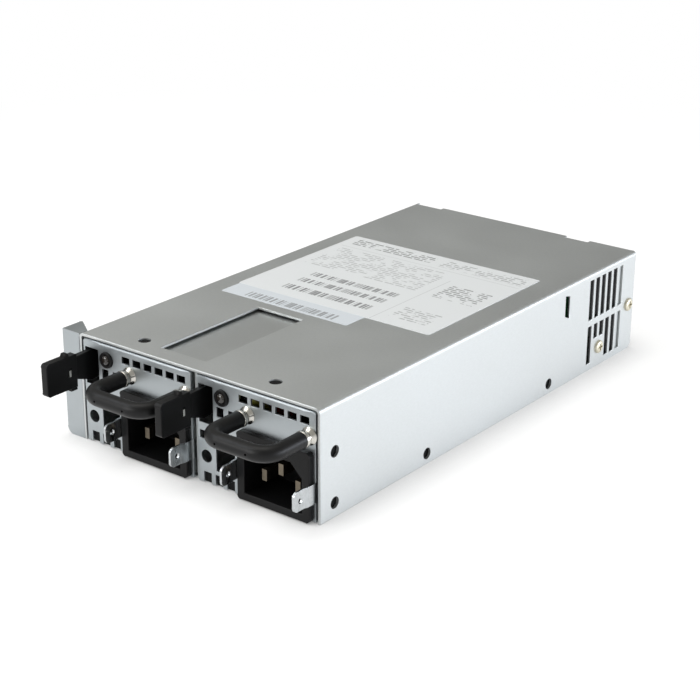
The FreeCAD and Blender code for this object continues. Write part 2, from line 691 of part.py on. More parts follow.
def cover_top_cuts(body):
    """The window over the first module, the two front holes and the rear notches."""
    through = (cage_inside_height - s.cage_gauge, cage_height + s.cage_gauge)
    window = rectangle((s.window_x, s.window_x + s.window_width), (s.window_y, s.window_y + s.window_length))
    holes = [circle(s.top_hole_x, s.top_hole_y, s.top_hole_radius),
             circle(s.top_hole_x + s.top_hole_spacing, s.top_hole_y, s.top_hole_radius)]
    notch = (cage_length - s.notch_depth, cage_length + s.notch_depth)
    notches = [rectangle((s.left_notch_x, s.left_notch_x + s.left_notch_width), notch),
               rectangle((right_notch_x, right_notch_x + s.right_notch_width), notch)]
    pocket(body, "Z", through, window, *holes, *notches)


def cage_base():
    """Floor of the cage, with a tab folded up on each side for a cover screw."""
    body = new_body("cage_base")
    left = s.cage_gauge
    right = cage_width - s.cage_gauge
    front = s.plate_gauge + s.slide_clearance
    pad(body, "Z", (0, s.base_gauge), rectangle((left, right), (front, cage_length)))
    tab_front = floor_tab_y - s.floor_tab_length / 2
    tab_rear = floor_tab_y + s.floor_tab_length / 2
    for low, high in ((left, left + s.base_gauge), (right - s.base_gauge, right)):
        tab = rectangle((tab_front, tab_rear), (0, s.floor_tab_height))
        pad(body, "X", (low, high), tab)
    in_cage(body)


def rear_panel():
    """Rear wall with slots for the air and the hole for the cable exit."""
    body = new_body("rear_panel")
    left = s.cage_gauge
    right = cage_width - s.cage_gauge
    panel = pad(body, "Y", (rear_inside, cage_length),
                rectangle((left, right), (s.base_gauge, cage_inside_height)))
    fillet(body, panel, edges_along(panel, "Y", z=cage_inside_height), 2 * s.bend_radius)
    flange_front = cage_length - s.rear_flange
    flange_edge = s.bend_radius + s.rear_gauge
    flange = rectangle((flange_front, cage_length),
                       (s.base_gauge + flange_edge, cage_inside_height - flange_edge))
    pad(body, "X", (left, left + s.rear_gauge), flange)
    pad(body, "X", (right - s.rear_gauge, right), flange)
    through = (rear_inside - s.rear_gauge, cage_length + s.rear_gauge)
    half_width = s.bushing_width / 2
    half_height = s.bushing_height / 2
    pocket(body, "Y", through, rectangle((s.bushing_x - half_width, s.bushing_x + half_width),
                                         (s.bushing_z - half_height, s.bushing_z + half_height)))
    vent_x = (s.rear_vent_x, s.rear_vent_x + s.rear_vent_width)
    rows = [rectangle(vent_x, (low, low + s.rear_vent_height))
            for low in (s.rear_vent_low, s.rear_vent_low + s.rear_vent_row)]
    row_of(body, pocket(body, "Y", through, *rows), "X", s.rear_vent_pitch, s.rear_vent_count)
    in_cage(body)


def chassis_ear():
    """Folded bracket on the left wall: a side leg, a front flange and a rounded top flange."""
    body = new_body("chassis_ear")
    top = cage_height - s.plate_rise
    start = 0
    side_leg = rectangle((-s.ear_gauge, 0), (0, s.ear_depth))
    front_flange = rectangle((-s.ear_reach, 0), (0, s.ear_gauge))
    pad(body, "Z", (start, top), side_leg)
    front = pad(body, "Z", (start, top), front_flange)
    front = fillet(body, front, edges_along(front, "Z", x=0, y=0), s.bend_radius)
    front = fillet(body, front, edges_along(front, "Y", x=-s.ear_reach, z=0), s.ear_edge_radius)
    top_flange = rectangle((-s.ear_reach, 0), (0, s.ear_depth))
    flange = pad(body, "Z", (top - s.ear_gauge, top), top_flange)
    fillet(body, flange, edges_along(flange, "Z", x=-s.ear_reach, y=s.ear_depth), s.ear_corner)
    in_cage(body)


def centre_divider():
    """Upright sheet between the bays, with the slot for the right module's latch."""
    body = new_body("centre_divider")
    front = s.plate_gauge + s.slide_clearance
    rear = backplane_front - s.socket_gap
    wall = rectangle((front, rear), (s.base_gauge, cage_inside_height))
    sheet_span = (divider_left, divider_left + s.divider_gauge)
    made = pad(body, "X", sheet_span, wall)
    corner = edges_along(made, "X", y=rear, z=cage_inside_height)
    fillet(body, made, corner, s.rear_corner)
    pocket(body, "X", sheet_span, latch_slot(module_floor))
    in_cage(body)


def backplane_bracket():
    """Open frame that carries the backplane, with flanges back along the cage walls."""
    body = new_body("backplane_bracket")
    left = s.cage_gauge
    right = cage_width - s.cage_gauge
    top = cage_inside_height
    front = backplane_rear
    rear = backplane_rear + s.cage_gauge
    frame = pad(body, "Y", (front, rear), rectangle((left, right), (s.base_gauge, top)))
    fillet(body, frame, edges_along(frame, "Y", z=top), 2 * s.bend_radius)
    sides = (left + s.frame_width, right - s.frame_width)
    edge = s.frame_width / 2
    pocket(body, "Y", (front, rear), rectangle(sides, (s.base_gauge + edge, top - edge)))
    flange = rectangle((front, front + s.bracket_flange), (s.base_gauge + edge, top - edge))
    pad(body, "X", (left, left + s.cage_gauge), flange)
    pad(body, "X", (right - s.cage_gauge, right), flange)
    in_cage(body)


def backplane_board():
    left = s.cage_gauge + s.backplane_margin
    right = cage_width - left
    low = s.base_gauge + s.backplane_margin
    high = cage_inside_height - s.backplane_margin
    body = new_body("backplane_board")
    pad(body, "Y", (backplane_front, backplane_rear), rectangle((left, right), (low, high)))
    in_cage(body)


def backplane_socket(index):
    """Card-edge socket that a module's board plugs into."""
    body = new_body(f"backplane_socket_{index + 1}")
    middle_x = s.module_width / 2
    middle_z = s.board_z + s.board_gauge / 2
    half_width = s.socket_width / 2
    half_height = s.socket_height / 2
    shell = rectangle((middle_x - half_width, middle_x + half_width),
                      (middle_z - half_height, middle_z + half_height))
    pad(body, "Y", (socket_front, backplane_front), shell)
    slot_x = (tongue_left - s.tongue_fit, tongue_right + s.tongue_fit)
    slot_z = (s.board_z - s.tongue_fit, board_top + s.tongue_fit)
    slot_end = s.module_length + s.tongue_reach + s.tongue_fit
    pocket(body, "Y", (socket_front, slot_end), rectangle(slot_x, slot_z))
    in_module(body, index)


def backplane_capacitors():
    """Filter capacitors that stand back from the backplane through the bracket's window."""
    rear = backplane_rear + s.filter_cap_length
    cans = [can("Can", (x, s.filter_cap_z), (backplane_rear, rear), s.filter_cap_radius)
            for x in (s.filter_cap_x, cage_width - s.filter_cap_x)]
    in_cage(group("backplane_capacitors", *cans))


def comb(start, width, base, height, fin, count):
    """Outline of a finned extrusion: a base with evenly spaced fins on it, from its start corner."""
    u, v = start
    points = [(u, v), (u + width, v)]
    pitch = (width - fin) / (count - 1)
    for step in reversed(range(number(count))):
        low = u + step * pitch
        points += [(low + fin, v + height), (low, v + height)]
        if step:
            points += [(low, v + base), (low - pitch + fin, v + base)]
    return points


def backplane_heatsink():
    """Finned block on the current-sharing transistors, low in the middle of the backplane."""
    body = new_body("backplane_heatsink")
    left = (cage_width - s.rear_sink_width) / 2
    low = s.base_gauge + s.frame_width / 2 + s.backplane_margin / 2
    outline = comb((left, low), s.rear_sink_width, s.rear_sink_base, s.rear_sink_height,
                   s.sink_fin_gauge, s.rear_sink_fins)
    pad(body, "Y", (backplane_rear, backplane_rear + s.rear_sink_depth), outline)
    in_cage(body)


def output_terminals():
    """Blade terminals on the backplane for the output wiring."""
    blades = []
    for side in (-1, 1):
        for step in range(s.terminal_count.number):
            x = cage_width / 2 + side * (s.rear_sink_width / 2 + s.terminal_pitch * (step + 0.5))
            rear = backplane_rear + s.terminal_reach
            half = s.terminal_gauge / 2
            blades.append(box((x - half, x + half), (backplane_rear, rear),
                              (s.terminal_z - s.terminal_width / 2, s.terminal_z + s.terminal_width / 2)))
    in_cage(group("output_terminals", *blades))


def output_bushing():
    """Snap-in bushing in the rear panel: a rim outside, a neck, a lip inside and a free way through."""
    body = new_body("output_bushing")
    half_width = s.bushing_width / 2
    half_height = s.bushing_height / 2

    def outline(extra):
        return rectangle((s.bushing_x - half_width - extra, s.bushing_x + half_width + extra),
                         (s.bushing_z - half_height - extra, s.bushing_z + half_height + extra))

    front = rear_inside - s.bushing_lip
    rear = cage_length + s.bushing_lip
    rim = pad(body, "Y", (cage_length, rear), outline(s.bushing_rim))
    edges = [name for side in (-1, 1)
             for name in edges_along(rim, "Y", x=s.bushing_x + side * (half_width + s.bushing_rim))]
    fillet(body, rim, edges, s.bushing_rim)
    pad(body, "Y", (rear_inside, cage_length), outline(0))
    pad(body, "Y", (front, rear_inside), outline(s.bushing_rim / 4))
    pocket(body, "Y", (front, rear), outline(-s.bushing_wall))
    in_cage(body)


# Module pieces

def module_case(index):
    """Floor, sides and rear wall of a module, with ears lanced inwards for the latch pivot."""
    body = new_body(f"module_{index + 1}_case")
    gauge = s.module_gauge
    width = s.module_width
    shell = pad(body, "Y", (s.plate_gauge, s.module_length), rectangle((0, width), (0, wall_top)))
    shell = fillet(body, shell, edges_along(shell, "Y", z=0), s.bend_radius + gauge)
    pocket(body, "Y", (s.plate_gauge, s.module_length - gauge),
           rectangle((gauge, width - gauge), (gauge, wall_top)))
    low_ear_top = s.lever_low - s.ear_clearance
    high_ear_low = s.lever_high + s.ear_clearance
    ear_y = (s.pin_y - s.pivot_ear_length / 2, s.pin_y + s.pivot_ear_length / 2)
    ear = rectangle((gauge / 2, gauge + s.pivot_ear_width), ear_y)
    pad(body, "Z", (low_ear_top - gauge, low_ear_top), ear)
    pad(body, "Z", (high_ear_low, high_ear_low + gauge), ear)
    pin_hole = circle(s.pin_x, s.pin_y, s.pin_radius + s.pin_fit / 2)
    pocket(body, "Z", (low_ear_top - 2 * gauge, high_ear_low + 2 * gauge), pin_hole)
    pocket(body, "X", (-gauge, gauge), latch_slot(0))
    case_front_notch(body)
    case_rear_cuts(body)
    in_module(body, index)


def case_front_notch(body):
    """A notch in the right wall's front edge that clears the retainer tab's foot."""
    wall = (s.module_width - s.module_gauge, s.module_width)
    foot_end = s.plate_gauge + s.retainer_gauge
    foot = rectangle((s.plate_gauge, foot_end), (s.retainer_low, s.retainer_low + s.retainer_height))
    pocket(body, "X", wall, foot)


def case_rear_cuts(body):
    """The opening for the card edge and the row of vents in the module's rear wall."""
    through = (s.module_length - 2 * s.module_gauge, s.module_length + s.module_gauge)
    opening = rectangle((tongue_left - s.tongue_room, tongue_right + s.tongue_room),
                        (s.board_z - s.tongue_room, board_top + s.tongue_room))
    pocket(body, "Y", through, opening)
    row_length = s.rear_slot_pitch * (s.rear_slot_count - 1) + s.rear_slot_width
    first = (s.module_width - row_length) / 2
    slot = rectangle((first, first + s.rear_slot_width), (s.rear_slot_low, s.rear_slot_high))
    row_of(body, pocket(body, "Y", through, slot), "X", s.rear_slot_pitch, s.rear_slot_count)


def module_lid(index):
    """Lid that rests on the case walls, with a flange down inside each of them behind the fan."""
    body = new_body(f"module_{index + 1}_lid")
    lid = rectangle((0, s.module_width), (s.plate_gauge, s.module_length))
    pad(body, "Z", (wall_top, s.module_height), lid)
    flange_y = (fan_rear + s.module_gauge, s.module_length - 2 * s.module_gauge)
    right_wall = s.module_width - s.module_gauge
    for left, right in ((s.module_gauge, 2 * s.module_gauge), (right_wall - s.module_gauge, right_wall)):
        pad(body, "Z", (wall_top - s.lid_flange, wall_top), rectangle((left, right), flange_y))
    in_module(body, index)


def module_front_plate(index):
    """Front plate with the latch opening, the lamp hole, the vents and the inlet's opening."""
    body = new_body(f"module_{index + 1}_front_plate")
    span = (0, s.plate_gauge)
    bottom = -s.plate_drop
    pad(body, "Y", span, rectangle((0, s.module_width), (bottom, s.module_height + s.plate_rise)))
    plate_openings(body, span)
    plate_vents(body, span, bottom)
    in_module(body, index)


def plate_openings(body, span):
    mouth = rectangle((s.module_gauge, s.latch_mouth_right), (s.latch_mouth_low, s.latch_mouth_high))
    lamp = circle(s.led_x, s.led_z, s.led_barrel_radius + s.led_fit)
    half_width = s.inlet_body_width / 2
    half_height = s.inlet_body_height / 2
    inlet = rectangle((inlet_x - half_width, inlet_x + half_width),
                      (s.inlet_z - half_height, s.inlet_z + half_height))
    pocket(body, "Y", span, mouth, lamp, inlet)
    slot_z = (s.retainer_low, s.retainer_low + s.retainer_height)
    left_slot = rectangle((bezel_left - s.retainer_gauge, bezel_left), slot_z)
    right_slot = rectangle((bezel_right, s.module_width + s.retainer_gauge), slot_z)
    pocket(body, "Y", span, left_slot, right_slot)


def plate_vents(body, span, bottom):
    def vent(x, width, low, height):
        return rectangle((x, x + width), (low, low + height))

    top = vent(top_vent_x, s.top_vent_width, s.top_vent_low, s.top_vent_height)
    row_of(body, pocket(body, "Y", span, top), "X", s.vent_pitch, s.top_vent_count)
    middle = vent(s.middle_vent_x, s.middle_vent_size, s.middle_vent_low, s.middle_vent_size)
    row_of(body, pocket(body, "Y", span, middle), "X", s.vent_pitch, s.middle_vent_count)
    low_notch = vent(s.bottom_vent_x, s.bottom_vent_width, bottom, s.bottom_vent_high - bottom)
    row_of(body, pocket(body, "Y", span, low_notch), "X", s.vent_pitch, s.bottom_vent_count)
    under_lamp = [vent(s.small_vent_x + step * s.vent_pitch, s.small_vent_width, s.small_vent_low,
                       s.small_vent_height) for step in (0, 1)]
    large = vent(s.big_vent_x, s.big_vent_width, s.big_vent_low, s.big_vent_high - s.big_vent_low)
    round_hole = circle(s.round_hole_x, s.round_hole_z, s.round_hole_radius)
    pocket(body, "Y", span, *under_lamp, large, round_hole)


def inlet_housing(index):
    """Moulded mains inlet: a bezel on the plate, a body through it and a keyed cavity."""
    body = new_body(f"module_{index + 1}_inlet_housing")
    bezel_low = s.inlet_z - s.bezel_height / 2
    bezel_high = s.inlet_z + s.bezel_height / 2
    face = -s.bezel_reach
    bezel = pad(body, "Y", (face, 0), rectangle((bezel_left, bezel_right), (bezel_low, bezel_high)))
    corners = [name for x in (bezel_left, bezel_right) for name in edges_along(bezel, "Y", x=x)]
    fillet(body, bezel, corners, s.bezel_corner)
    half_width = s.inlet_body_width / 2
    half_height = s.inlet_body_height / 2
    pad(body, "Y", (0, s.inlet_body_depth),
        rectangle((inlet_x - half_width, inlet_x + half_width),
                  (s.inlet_z - half_height, s.inlet_z + half_height)))
    left = bezel_left + s.bezel_lip + s.inlet_wall
    right = bezel_right - s.bezel_lip - s.inlet_wall
    low = cavity_z - s.cavity_height / 2
    high = cavity_z + s.cavity_height / 2
    key = s.cavity_chamfer
    cavity = [(left, low), (right, low), (right, high - key), (right - key, high), (left + key, high),
              (left, high - key)]
    pocket(body, "Y", (face, s.cavity_depth - s.bezel_reach), cavity)
    pocket(body, "Y", (s.cavity_depth - s.bezel_reach, s.inlet_body_depth), *blade_sections())
    in_module(body, index)


def blade_sections():
    """The three contact blades in section: two level ones and the earth blade above them."""
    level = cavity_z - s.blade_step / 2
    spots = [(inlet_x - s.blade_spacing / 2, level), (inlet_x + s.blade_spacing / 2, level),
             (inlet_x, level + s.blade_step)]
    return [rectangle((x - s.blade_width / 2, x + s.blade_width / 2),
                      (z - s.blade_height / 2, z + s.blade_height / 2)) for x, z in spots]


def inlet_blades(index):
    tip = s.blade_recess - s.bezel_reach
    blades = [box((points[0][0], points[1][0]), (tip, s.inlet_body_depth + s.blade_tail),
                  (points[0][1], points[2][1])) for points in blade_sections()]
    in_module(group(f"module_{index + 1}_inlet_blades", *blades), index)


def retainer_tab(side):
    """Sheet-metal tab beside the inlet that a cord retainer clips to; side is -1 left, 1 right."""
    body = new_body("Tab")
    edge = bezel_right if side > 0 else bezel_left
    outer = edge + side * s.retainer_gauge
    joggle = side * s.retainer_joggle
    bend_start = -s.retainer_joggle_y
    bend_end = bend_start - 2 * s.retainer_joggle
    tip = -s.retainer_reach
    foot_y = (s.plate_gauge, s.plate_gauge + s.retainer_gauge)
    foot_x = inlet_x + side * (s.inlet_body_width / 2 + s.retainer_foot_gap)
    outline = [(outer, foot_y[1]), (outer, bend_start), (outer - joggle, bend_end), (outer - joggle, tip),
               (edge - joggle, tip), (edge - joggle, bend_end), (edge, bend_start), (edge, foot_y[0]),
               (foot_x, foot_y[0]), (foot_x, foot_y[1])]
    low = s.retainer_low
    high = low + s.retainer_height
    made = pad(body, "Z", (low, high), outline)
    made = fillet(body, made, edges_along(made, "X", y=tip), s.retainer_round)
    hole = circle(-s.retainer_hole_reach, (low + high) / 2, s.retainer_hole_radius)
    ends = (outer - 2 * joggle, edge) if side > 0 else (edge, outer - 2 * joggle)
    span = (ends[0] - s.retainer_gauge, ends[1] + s.retainer_gauge)
    pocket(body, "X", span, hole)
    return body


def retainer_tabs(index):
    in_module(group(f"module_{index + 1}_retainer_tabs", retainer_tab(-1), retainer_tab(1)), index)


def handle_route():
    """Centre line of the grip, from one ferrule to the other, with each bend drawn as a few even turns."""
    bar_y = -s.handle_reach
    turn = math.pi / 2 / s.handle_turns.number
    stretch = s.handle_bend / math.cos(turn / 2)
    angles = [turn * (step + 0.5) for step in range(s.handle_turns.number)]
    centre_y = bar_y + s.handle_bend
    left = [(handle_left_x + s.handle_bend - stretch * math.cos(angle), centre_y - stretch * math.sin(angle))
            for angle in angles]
    right = [(handle_right_x - s.handle_bend + stretch * math.cos(angle),
              centre_y - stretch * math.sin(angle))
             for angle in reversed(angles)]
    return [(handle_left_x, -s.ferrule_length), *left, *right, (handle_right_x, -s.ferrule_length)]


def handle_grip(index):
    """Moulded U grip, a round section swept along its centre line."""
    body = new_body(f"module_{index + 1}_handle_grip")
    route = handle_route()
    path = sketch_on(body, "Z", s.handle_z, [])
    draw_line(path, route)
    section = sketch_on(body, "Y", -s.ferrule_length, [circle(handle_left_x, s.handle_z, s.grip_radius)])
    grip = body.newObject("PartDesign::AdditivePipe", "Grip")
    grip.Profile = section
    grip.Spine = (path, [f"Edge{number_of_edge}" for number_of_edge in range(1, len(route))])
    grip.Transition = "Right corner"
    in_module(body, index)


def handle_ferrules(index):
    """Steel collars that stand the grip off the plate."""
    collars = [cylinder("Y", (x, s.handle_z), (-s.ferrule_length, 0), s.ferrule_radius)
               for x in (handle_left_x, handle_right_x)]
    in_module(group(f"module_{index + 1}_handle_ferrules", *collars), index)


def lamp_holder(index):
    """Round holder pressed through the plate."""
    span = (-s.led_reach, s.plate_gauge + s.led_barrel_length)
    barrel = cylinder("Y", (s.led_x, s.led_z), span, s.led_barrel_radius)
    in_module(group(f"module_{index + 1}_lamp_holder", barrel), index)


def lamp_lens(index):
    """Status lamp standing out of its holder."""
    span = (-s.led_reach - s.led_lens_reach, -s.led_reach)
    lens = cylinder("Y", (s.led_x, s.led_z), span, s.led_lens_radius)
    in_module(group(f"module_{index + 1}_lamp_lens", lens), index)


def lever_outline():
    """Side view of the latch lever: the arm in the case, the stem through the plate and the finger tab."""
    rear = s.pin_y
    root = -s.stem_reach
    tip = -s.tab_reach
    neck = s.tab_step * 2
    ridge = -s.tab_ridge_y
    half_ridge = s.tab_ridge / 2
    return [
        (rear, s.lever_low), (s.plate_gauge * 4, s.lever_low), (0, s.lever_mouth_low),
        (root, s.tab_low + neck), (root, s.tab_low - s.tab_step), (root - neck, s.tab_low - s.tab_step),
        (root - neck, s.tab_low), (tip, s.tab_low), (tip, s.tab_high),
        (ridge - 2 * half_ridge, s.tab_high), (ridge - half_ridge, s.tab_high + s.tab_ridge),
        (ridge + half_ridge, s.tab_high + s.tab_ridge), (ridge + 2 * half_ridge, s.tab_high),
        (root, s.tab_high - s.tab_step), (0, s.lever_mouth_high), (s.plate_gauge * 4, s.lever_mouth_high),
        (s.latch_slot_y, s.lever_high), (rear, s.lever_high),
    ]


def latch_lever(index):
    """Moulded lever that turns on an upright pin and carries the tooth that holds the module."""
    body = new_body(f"module_{index + 1}_latch_lever")
    pad(body, "X", (lever_left, lever_right), lever_outline())
    root = -s.stem_reach
    tip = -s.tab_reach
    extra = s.lever_tab_extra
    finger = rectangle((tip, root), (s.tab_low, s.tab_high))
    tab = pad(body, "X", (lever_left - extra, lever_right + extra), finger)
    fillet(body, tab, edges_along(tab, "X", y=tip), s.tab_round)
    pad(body, "Z", (s.lever_low, s.lever_high), circle(s.pin_x, s.pin_y, s.boss_radius))
    tail_z = (s.lever_low + s.ear_clearance * 3, s.lever_high - s.ear_clearance * 3)
    tail_left = s.pin_x - s.tail_gauge / 2
    pad(body, "Z", tail_z,
        rectangle((tail_left, tail_left + s.tail_gauge), (s.pin_y, s.pin_y + s.tail_length)))
    tooth_tip = s.tooth_gap - s.bay_clearance
    tooth_rear = s.tooth_y + s.tooth_length
    tooth = [(lever_left, s.tooth_y), (tooth_tip, s.tooth_y + s.tooth_gap),
             (tooth_tip, s.tooth_y + s.tooth_gap + s.tooth_land), (lever_left, tooth_rear)]
    tooth_z = (s.latch_slot_low + 2 * s.ear_clearance, s.lever_high)
    pad(body, "Z", tooth_z, tooth)
    bore = circle(s.pin_x, s.pin_y, s.pin_radius + s.pin_fit)
    pocket(body, "Z", (s.lever_low, s.lever_high), bore)
    slot_y = root - 3 * s.tab_step
    slot_z = (s.tab_low + s.tab_high - s.tab_slot_height) / 2
    slot = rectangle((slot_y, slot_y + s.tab_slot_width), (slot_z, slot_z + s.tab_slot_height))
    pocket(body, "X", (lever_left - 2 * extra, lever_right + 2 * extra), slot)
    in_module(body, index)


def latch_pin(index):
    """Upright pivot pin pressed into the two ears."""
    overlap = 2 * s.module_gauge
    span = (s.lever_low - s.ear_clearance - overlap, s.lever_high + s.ear_clearance + overlap)
    pin = cylinder("Z", (s.pin_x, s.pin_y), span, s.pin_radius)
    in_module(group(f"module_{index + 1}_latch_pin", pin), index)


def latch_spring(index):
    """Leaf folded into a V between the case wall and the lever's tail."""
    body = new_body(f"module_{index + 1}_latch_spring")
    wall = s.module_gauge
    gauge = s.leaf_gauge
    touch = s.pin_x - s.tail_gauge / 2 - s.pin_fit
    front = s.pin_y + s.tail_length / 2
    fold = front + s.leaf_length
    reach = fold - 0.6 * s.leaf_length
    outline = [(wall, front), (wall, fold), (wall + 2 * gauge, fold), (touch, reach), (touch - gauge, reach),
               (wall + 1.2 * gauge, fold - gauge), (wall + gauge, fold - gauge), (wall + gauge, front)]
    middle = (s.lever_low + s.lever_high) / 2
    pad(body, "Z", (middle - s.leaf_height / 2, middle + s.leaf_height / 2), outline)
    in_module(body, index)


def fan_frame(index):
    """Square frame with a round duct and the struts that carry the motor plate."""
    body = new_body(f"module_{index + 1}_fan_frame")
    half = s.fan_size / 2
    depth = (0, s.fan_depth)
    pad(body, "Y", depth, rectangle((-half, half), (-half, half)))
    flats = s.inner_flats.number
    pocket(body, "Y", depth, polygon(0, 0, s.duct_radius, flats))
    plate_front = s.fan_depth - s.fan_hub_plate
    pad(body, "Y", (plate_front, s.fan_depth), polygon(0, 0, s.fan_hub_radius, flats))
    half_strut = s.fan_strut_width / 2
    strut = rectangle((-half_strut, half_strut),
                      (s.fan_hub_radius - half_strut, s.duct_radius + half_strut / 2))
    ring_of(body, pad(body, "Y", (plate_front, s.fan_depth), strut), "Y", s.fan_strut_count)
    in_module(body, index, fan_x, s.fan_y, fan_z)


def fan_rotor(index):
    """Rotor cup with a ring of pitched blades."""
    body = new_body(f"module_{index + 1}_fan_rotor")
    rear = s.fan_depth - s.fan_hub_plate - s.rotor_gap
    front = rear - s.rotor_length
    hub_radius = s.fan_hub_radius - s.rotor_gap
    pad(body, "Y", (front, rear), polygon(0, 0, hub_radius, s.inner_flats.number))
    middle = (front + rear) / 2
    half = s.rotor_blade_gauge / 2
    chord = s.rotor_blade_chord / 2
    rise = chord * s.rotor_pitch
    section = [(middle - chord, -rise - half), (middle - chord, half - rise),
               (middle + chord, rise + half), (middle + chord, rise - half)]
    blade = pad(body, "X", (hub_radius - s.rotor_blade_gauge, s.rotor_tip), section)
    ring_of(body, blade, "Y", s.rotor_blade_count)
    in_module(body, index, fan_x, s.fan_y, fan_z)


def main_board(index):
    """Circuit board whose narrower rear end passes through the case into the backplane socket."""
    body = new_body(f"module_{index + 1}_main_board")
    end = s.module_length + s.tongue_reach
    lead = s.tongue_fit * 3
    outline = [(board_left, s.board_start), (board_right, s.board_start), (board_right, board_end),
               (tongue_right, board_end), (tongue_right, end - lead), (tongue_right - lead, end),
               (tongue_left + lead, end), (tongue_left, end - lead), (tongue_left, board_end),
               (board_left, board_end)]
    pad(body, "Z", (s.board_z, board_top), outline)
    in_module(body, index)


def board_standoffs(index):
    """Six-sided spacers between the case floor and the corners of the board."""
    spots = [(x, y) for x in (board_left + s.standoff_inset, board_right - s.standoff_inset)
             for y in (s.board_start + s.standoff_inset, board_end - s.standoff_inset)]
    posts = []
    for x, y in spots:
        post = new_body("Standoff")
        pad(post, "Z", (s.module_gauge, s.board_z), polygon(x, y, s.standoff_radius, 6))
        posts.append(post)
    in_module(group(f"module_{index + 1}_board_standoffs", *posts), index)


def bulk_capacitor(index):
    """Large can lying on the board."""
    spot = (s.bulk_x, board_top + s.bulk_radius)
    in_module(can(f"module_{index + 1}_bulk_capacitor", spot, (s.bulk_y, bulk_rear), s.bulk_radius), index)


def film_capacitors(index):
    """Boxed film capacitors of the mains filter, one behind the other."""
    boxes = []
    for step in range(s.film_count.number):
        front = s.film_y + step * s.film_pitch
        boxes.append(box((film_x, film_right), (front, front + s.film_gauge),
                         (board_top, board_top + s.film_height)))
    in_module(group(f"module_{index + 1}_film_capacitors", *boxes), index)


def transformer(index):
    """Ferrite core: two yokes round a winding that stands out at the front and back."""
    left = (s.module_width - s.core_width) / 2
    right = left + s.core_width
    top = board_top + s.core_height
    core = box((left, right), (core_front, core_rear), (board_top, top))
    winding = box((left + s.core_yoke, right - s.core_yoke), (winding_front, winding_rear),
                  (board_top + s.core_yoke / 2, top - s.core_yoke))
    in_module(fuse(core, winding, label=f"module_{index + 1}_transformer"), index)


def heatsinks(index):
    """Two finned extrusions on the board, one for each row of power transistors."""
    sinks = []
    low = board_top
    for side in (-1, 1):
        body = new_body("Sink")
        back = board_left + s.sink_inset if side < 0 else board_right - s.sink_inset
        web = (back, back + s.sink_web) if side < 0 else (back - s.sink_web, back)
        pad(body, "X", web, rectangle((sink_y, inductor_rear), (low, low + s.sink_height)))
        fins = (back - s.sink_fin, back) if side < 0 else (back, back + s.sink_fin)
        pitch = (inductor_rear - sink_y - s.sink_fin_gauge) / (s.sink_fin_count - 1)
        fin = rectangle((sink_y, sink_y + s.sink_fin_gauge), (low, low + s.sink_height))
        row_of(body, pad(body, "X", fins, fin), "Y", pitch, s.sink_fin_count)
        sinks.append(body)
    in_module(group(f"module_{index + 1}_heatsinks", *sinks), index)


def output_inductors(index):
    """Block-shaped filter inductors in front of the card edge."""
    middle = (s.inductor_count - 1) / 2
    blocks = []
    for step in range(s.inductor_count.number):
        left = s.module_width / 2 + (step - middle) * s.inductor_pitch - s.inductor_width / 2
        blocks.append(box((left, left + s.inductor_width), (inductor_y, inductor_rear),
                          (board_top, board_top + s.inductor_height)))
    in_module(group(f"module_{index + 1}_output_inductors", *blocks), index)


def build_cage():
    cage_cover()
    cage_base()
    rear_panel()
    chassis_ear()
    centre_divider()
    backplane_bracket()
    backplane_board()
    backplane_capacitors()
    backplane_heatsink()
    output_terminals()
    output_bushing()


MODULE_PIECES = [
    module_case, module_lid, module_front_plate, inlet_housing, inlet_blades, retainer_tabs, handle_grip,
    handle_ferrules, lamp_holder, lamp_lens, latch_lever, latch_pin, latch_spring, fan_frame, fan_rotor,
    main_board, board_standoffs, bulk_capacitor, film_capacitors, transformer, heatsinks, output_inductors,
    backplane_socket,
]


def build_modules():
    for index in range(len(module_left)):
        for make_piece in MODULE_PIECES:
            make_piece(index)


def check_document():
    """Stops if any object failed or any sub-part's shape is missing or faulty."""
    doc.recompute()
    failed = [item.Label for item in doc.Objects if "Invalid" in item.State or "Error" in item.State]
    if failed:
        raise RuntimeError(f"failed objects: {failed}")
    for piece in finished:
        if piece.Shape.isNull() or not piece.Shape.isValid():
            raise RuntimeError(f"faulty shape: {piece.Label}")


def write_parts():
    os.makedirs("parts", exist_ok=True)
    for piece in finished:
        piece.Shape.exportStep(f"parts/{piece.Label}.step")
        print(f"{piece.Label}: {len(piece.Shape.Solids)} solids, {piece.Shape.Volume:.0f} mm3")


build_cage()
build_modules()
check_document()
write_parts()
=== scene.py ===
"""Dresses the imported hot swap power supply: rounded edges, grips, lamps, screws, labels and finishes."""

import json
import math

import bmesh
import bpy
from bpy.props import FloatProperty, FloatVectorProperty, IntProperty, PointerProperty
from mathutils import Matrix, Vector

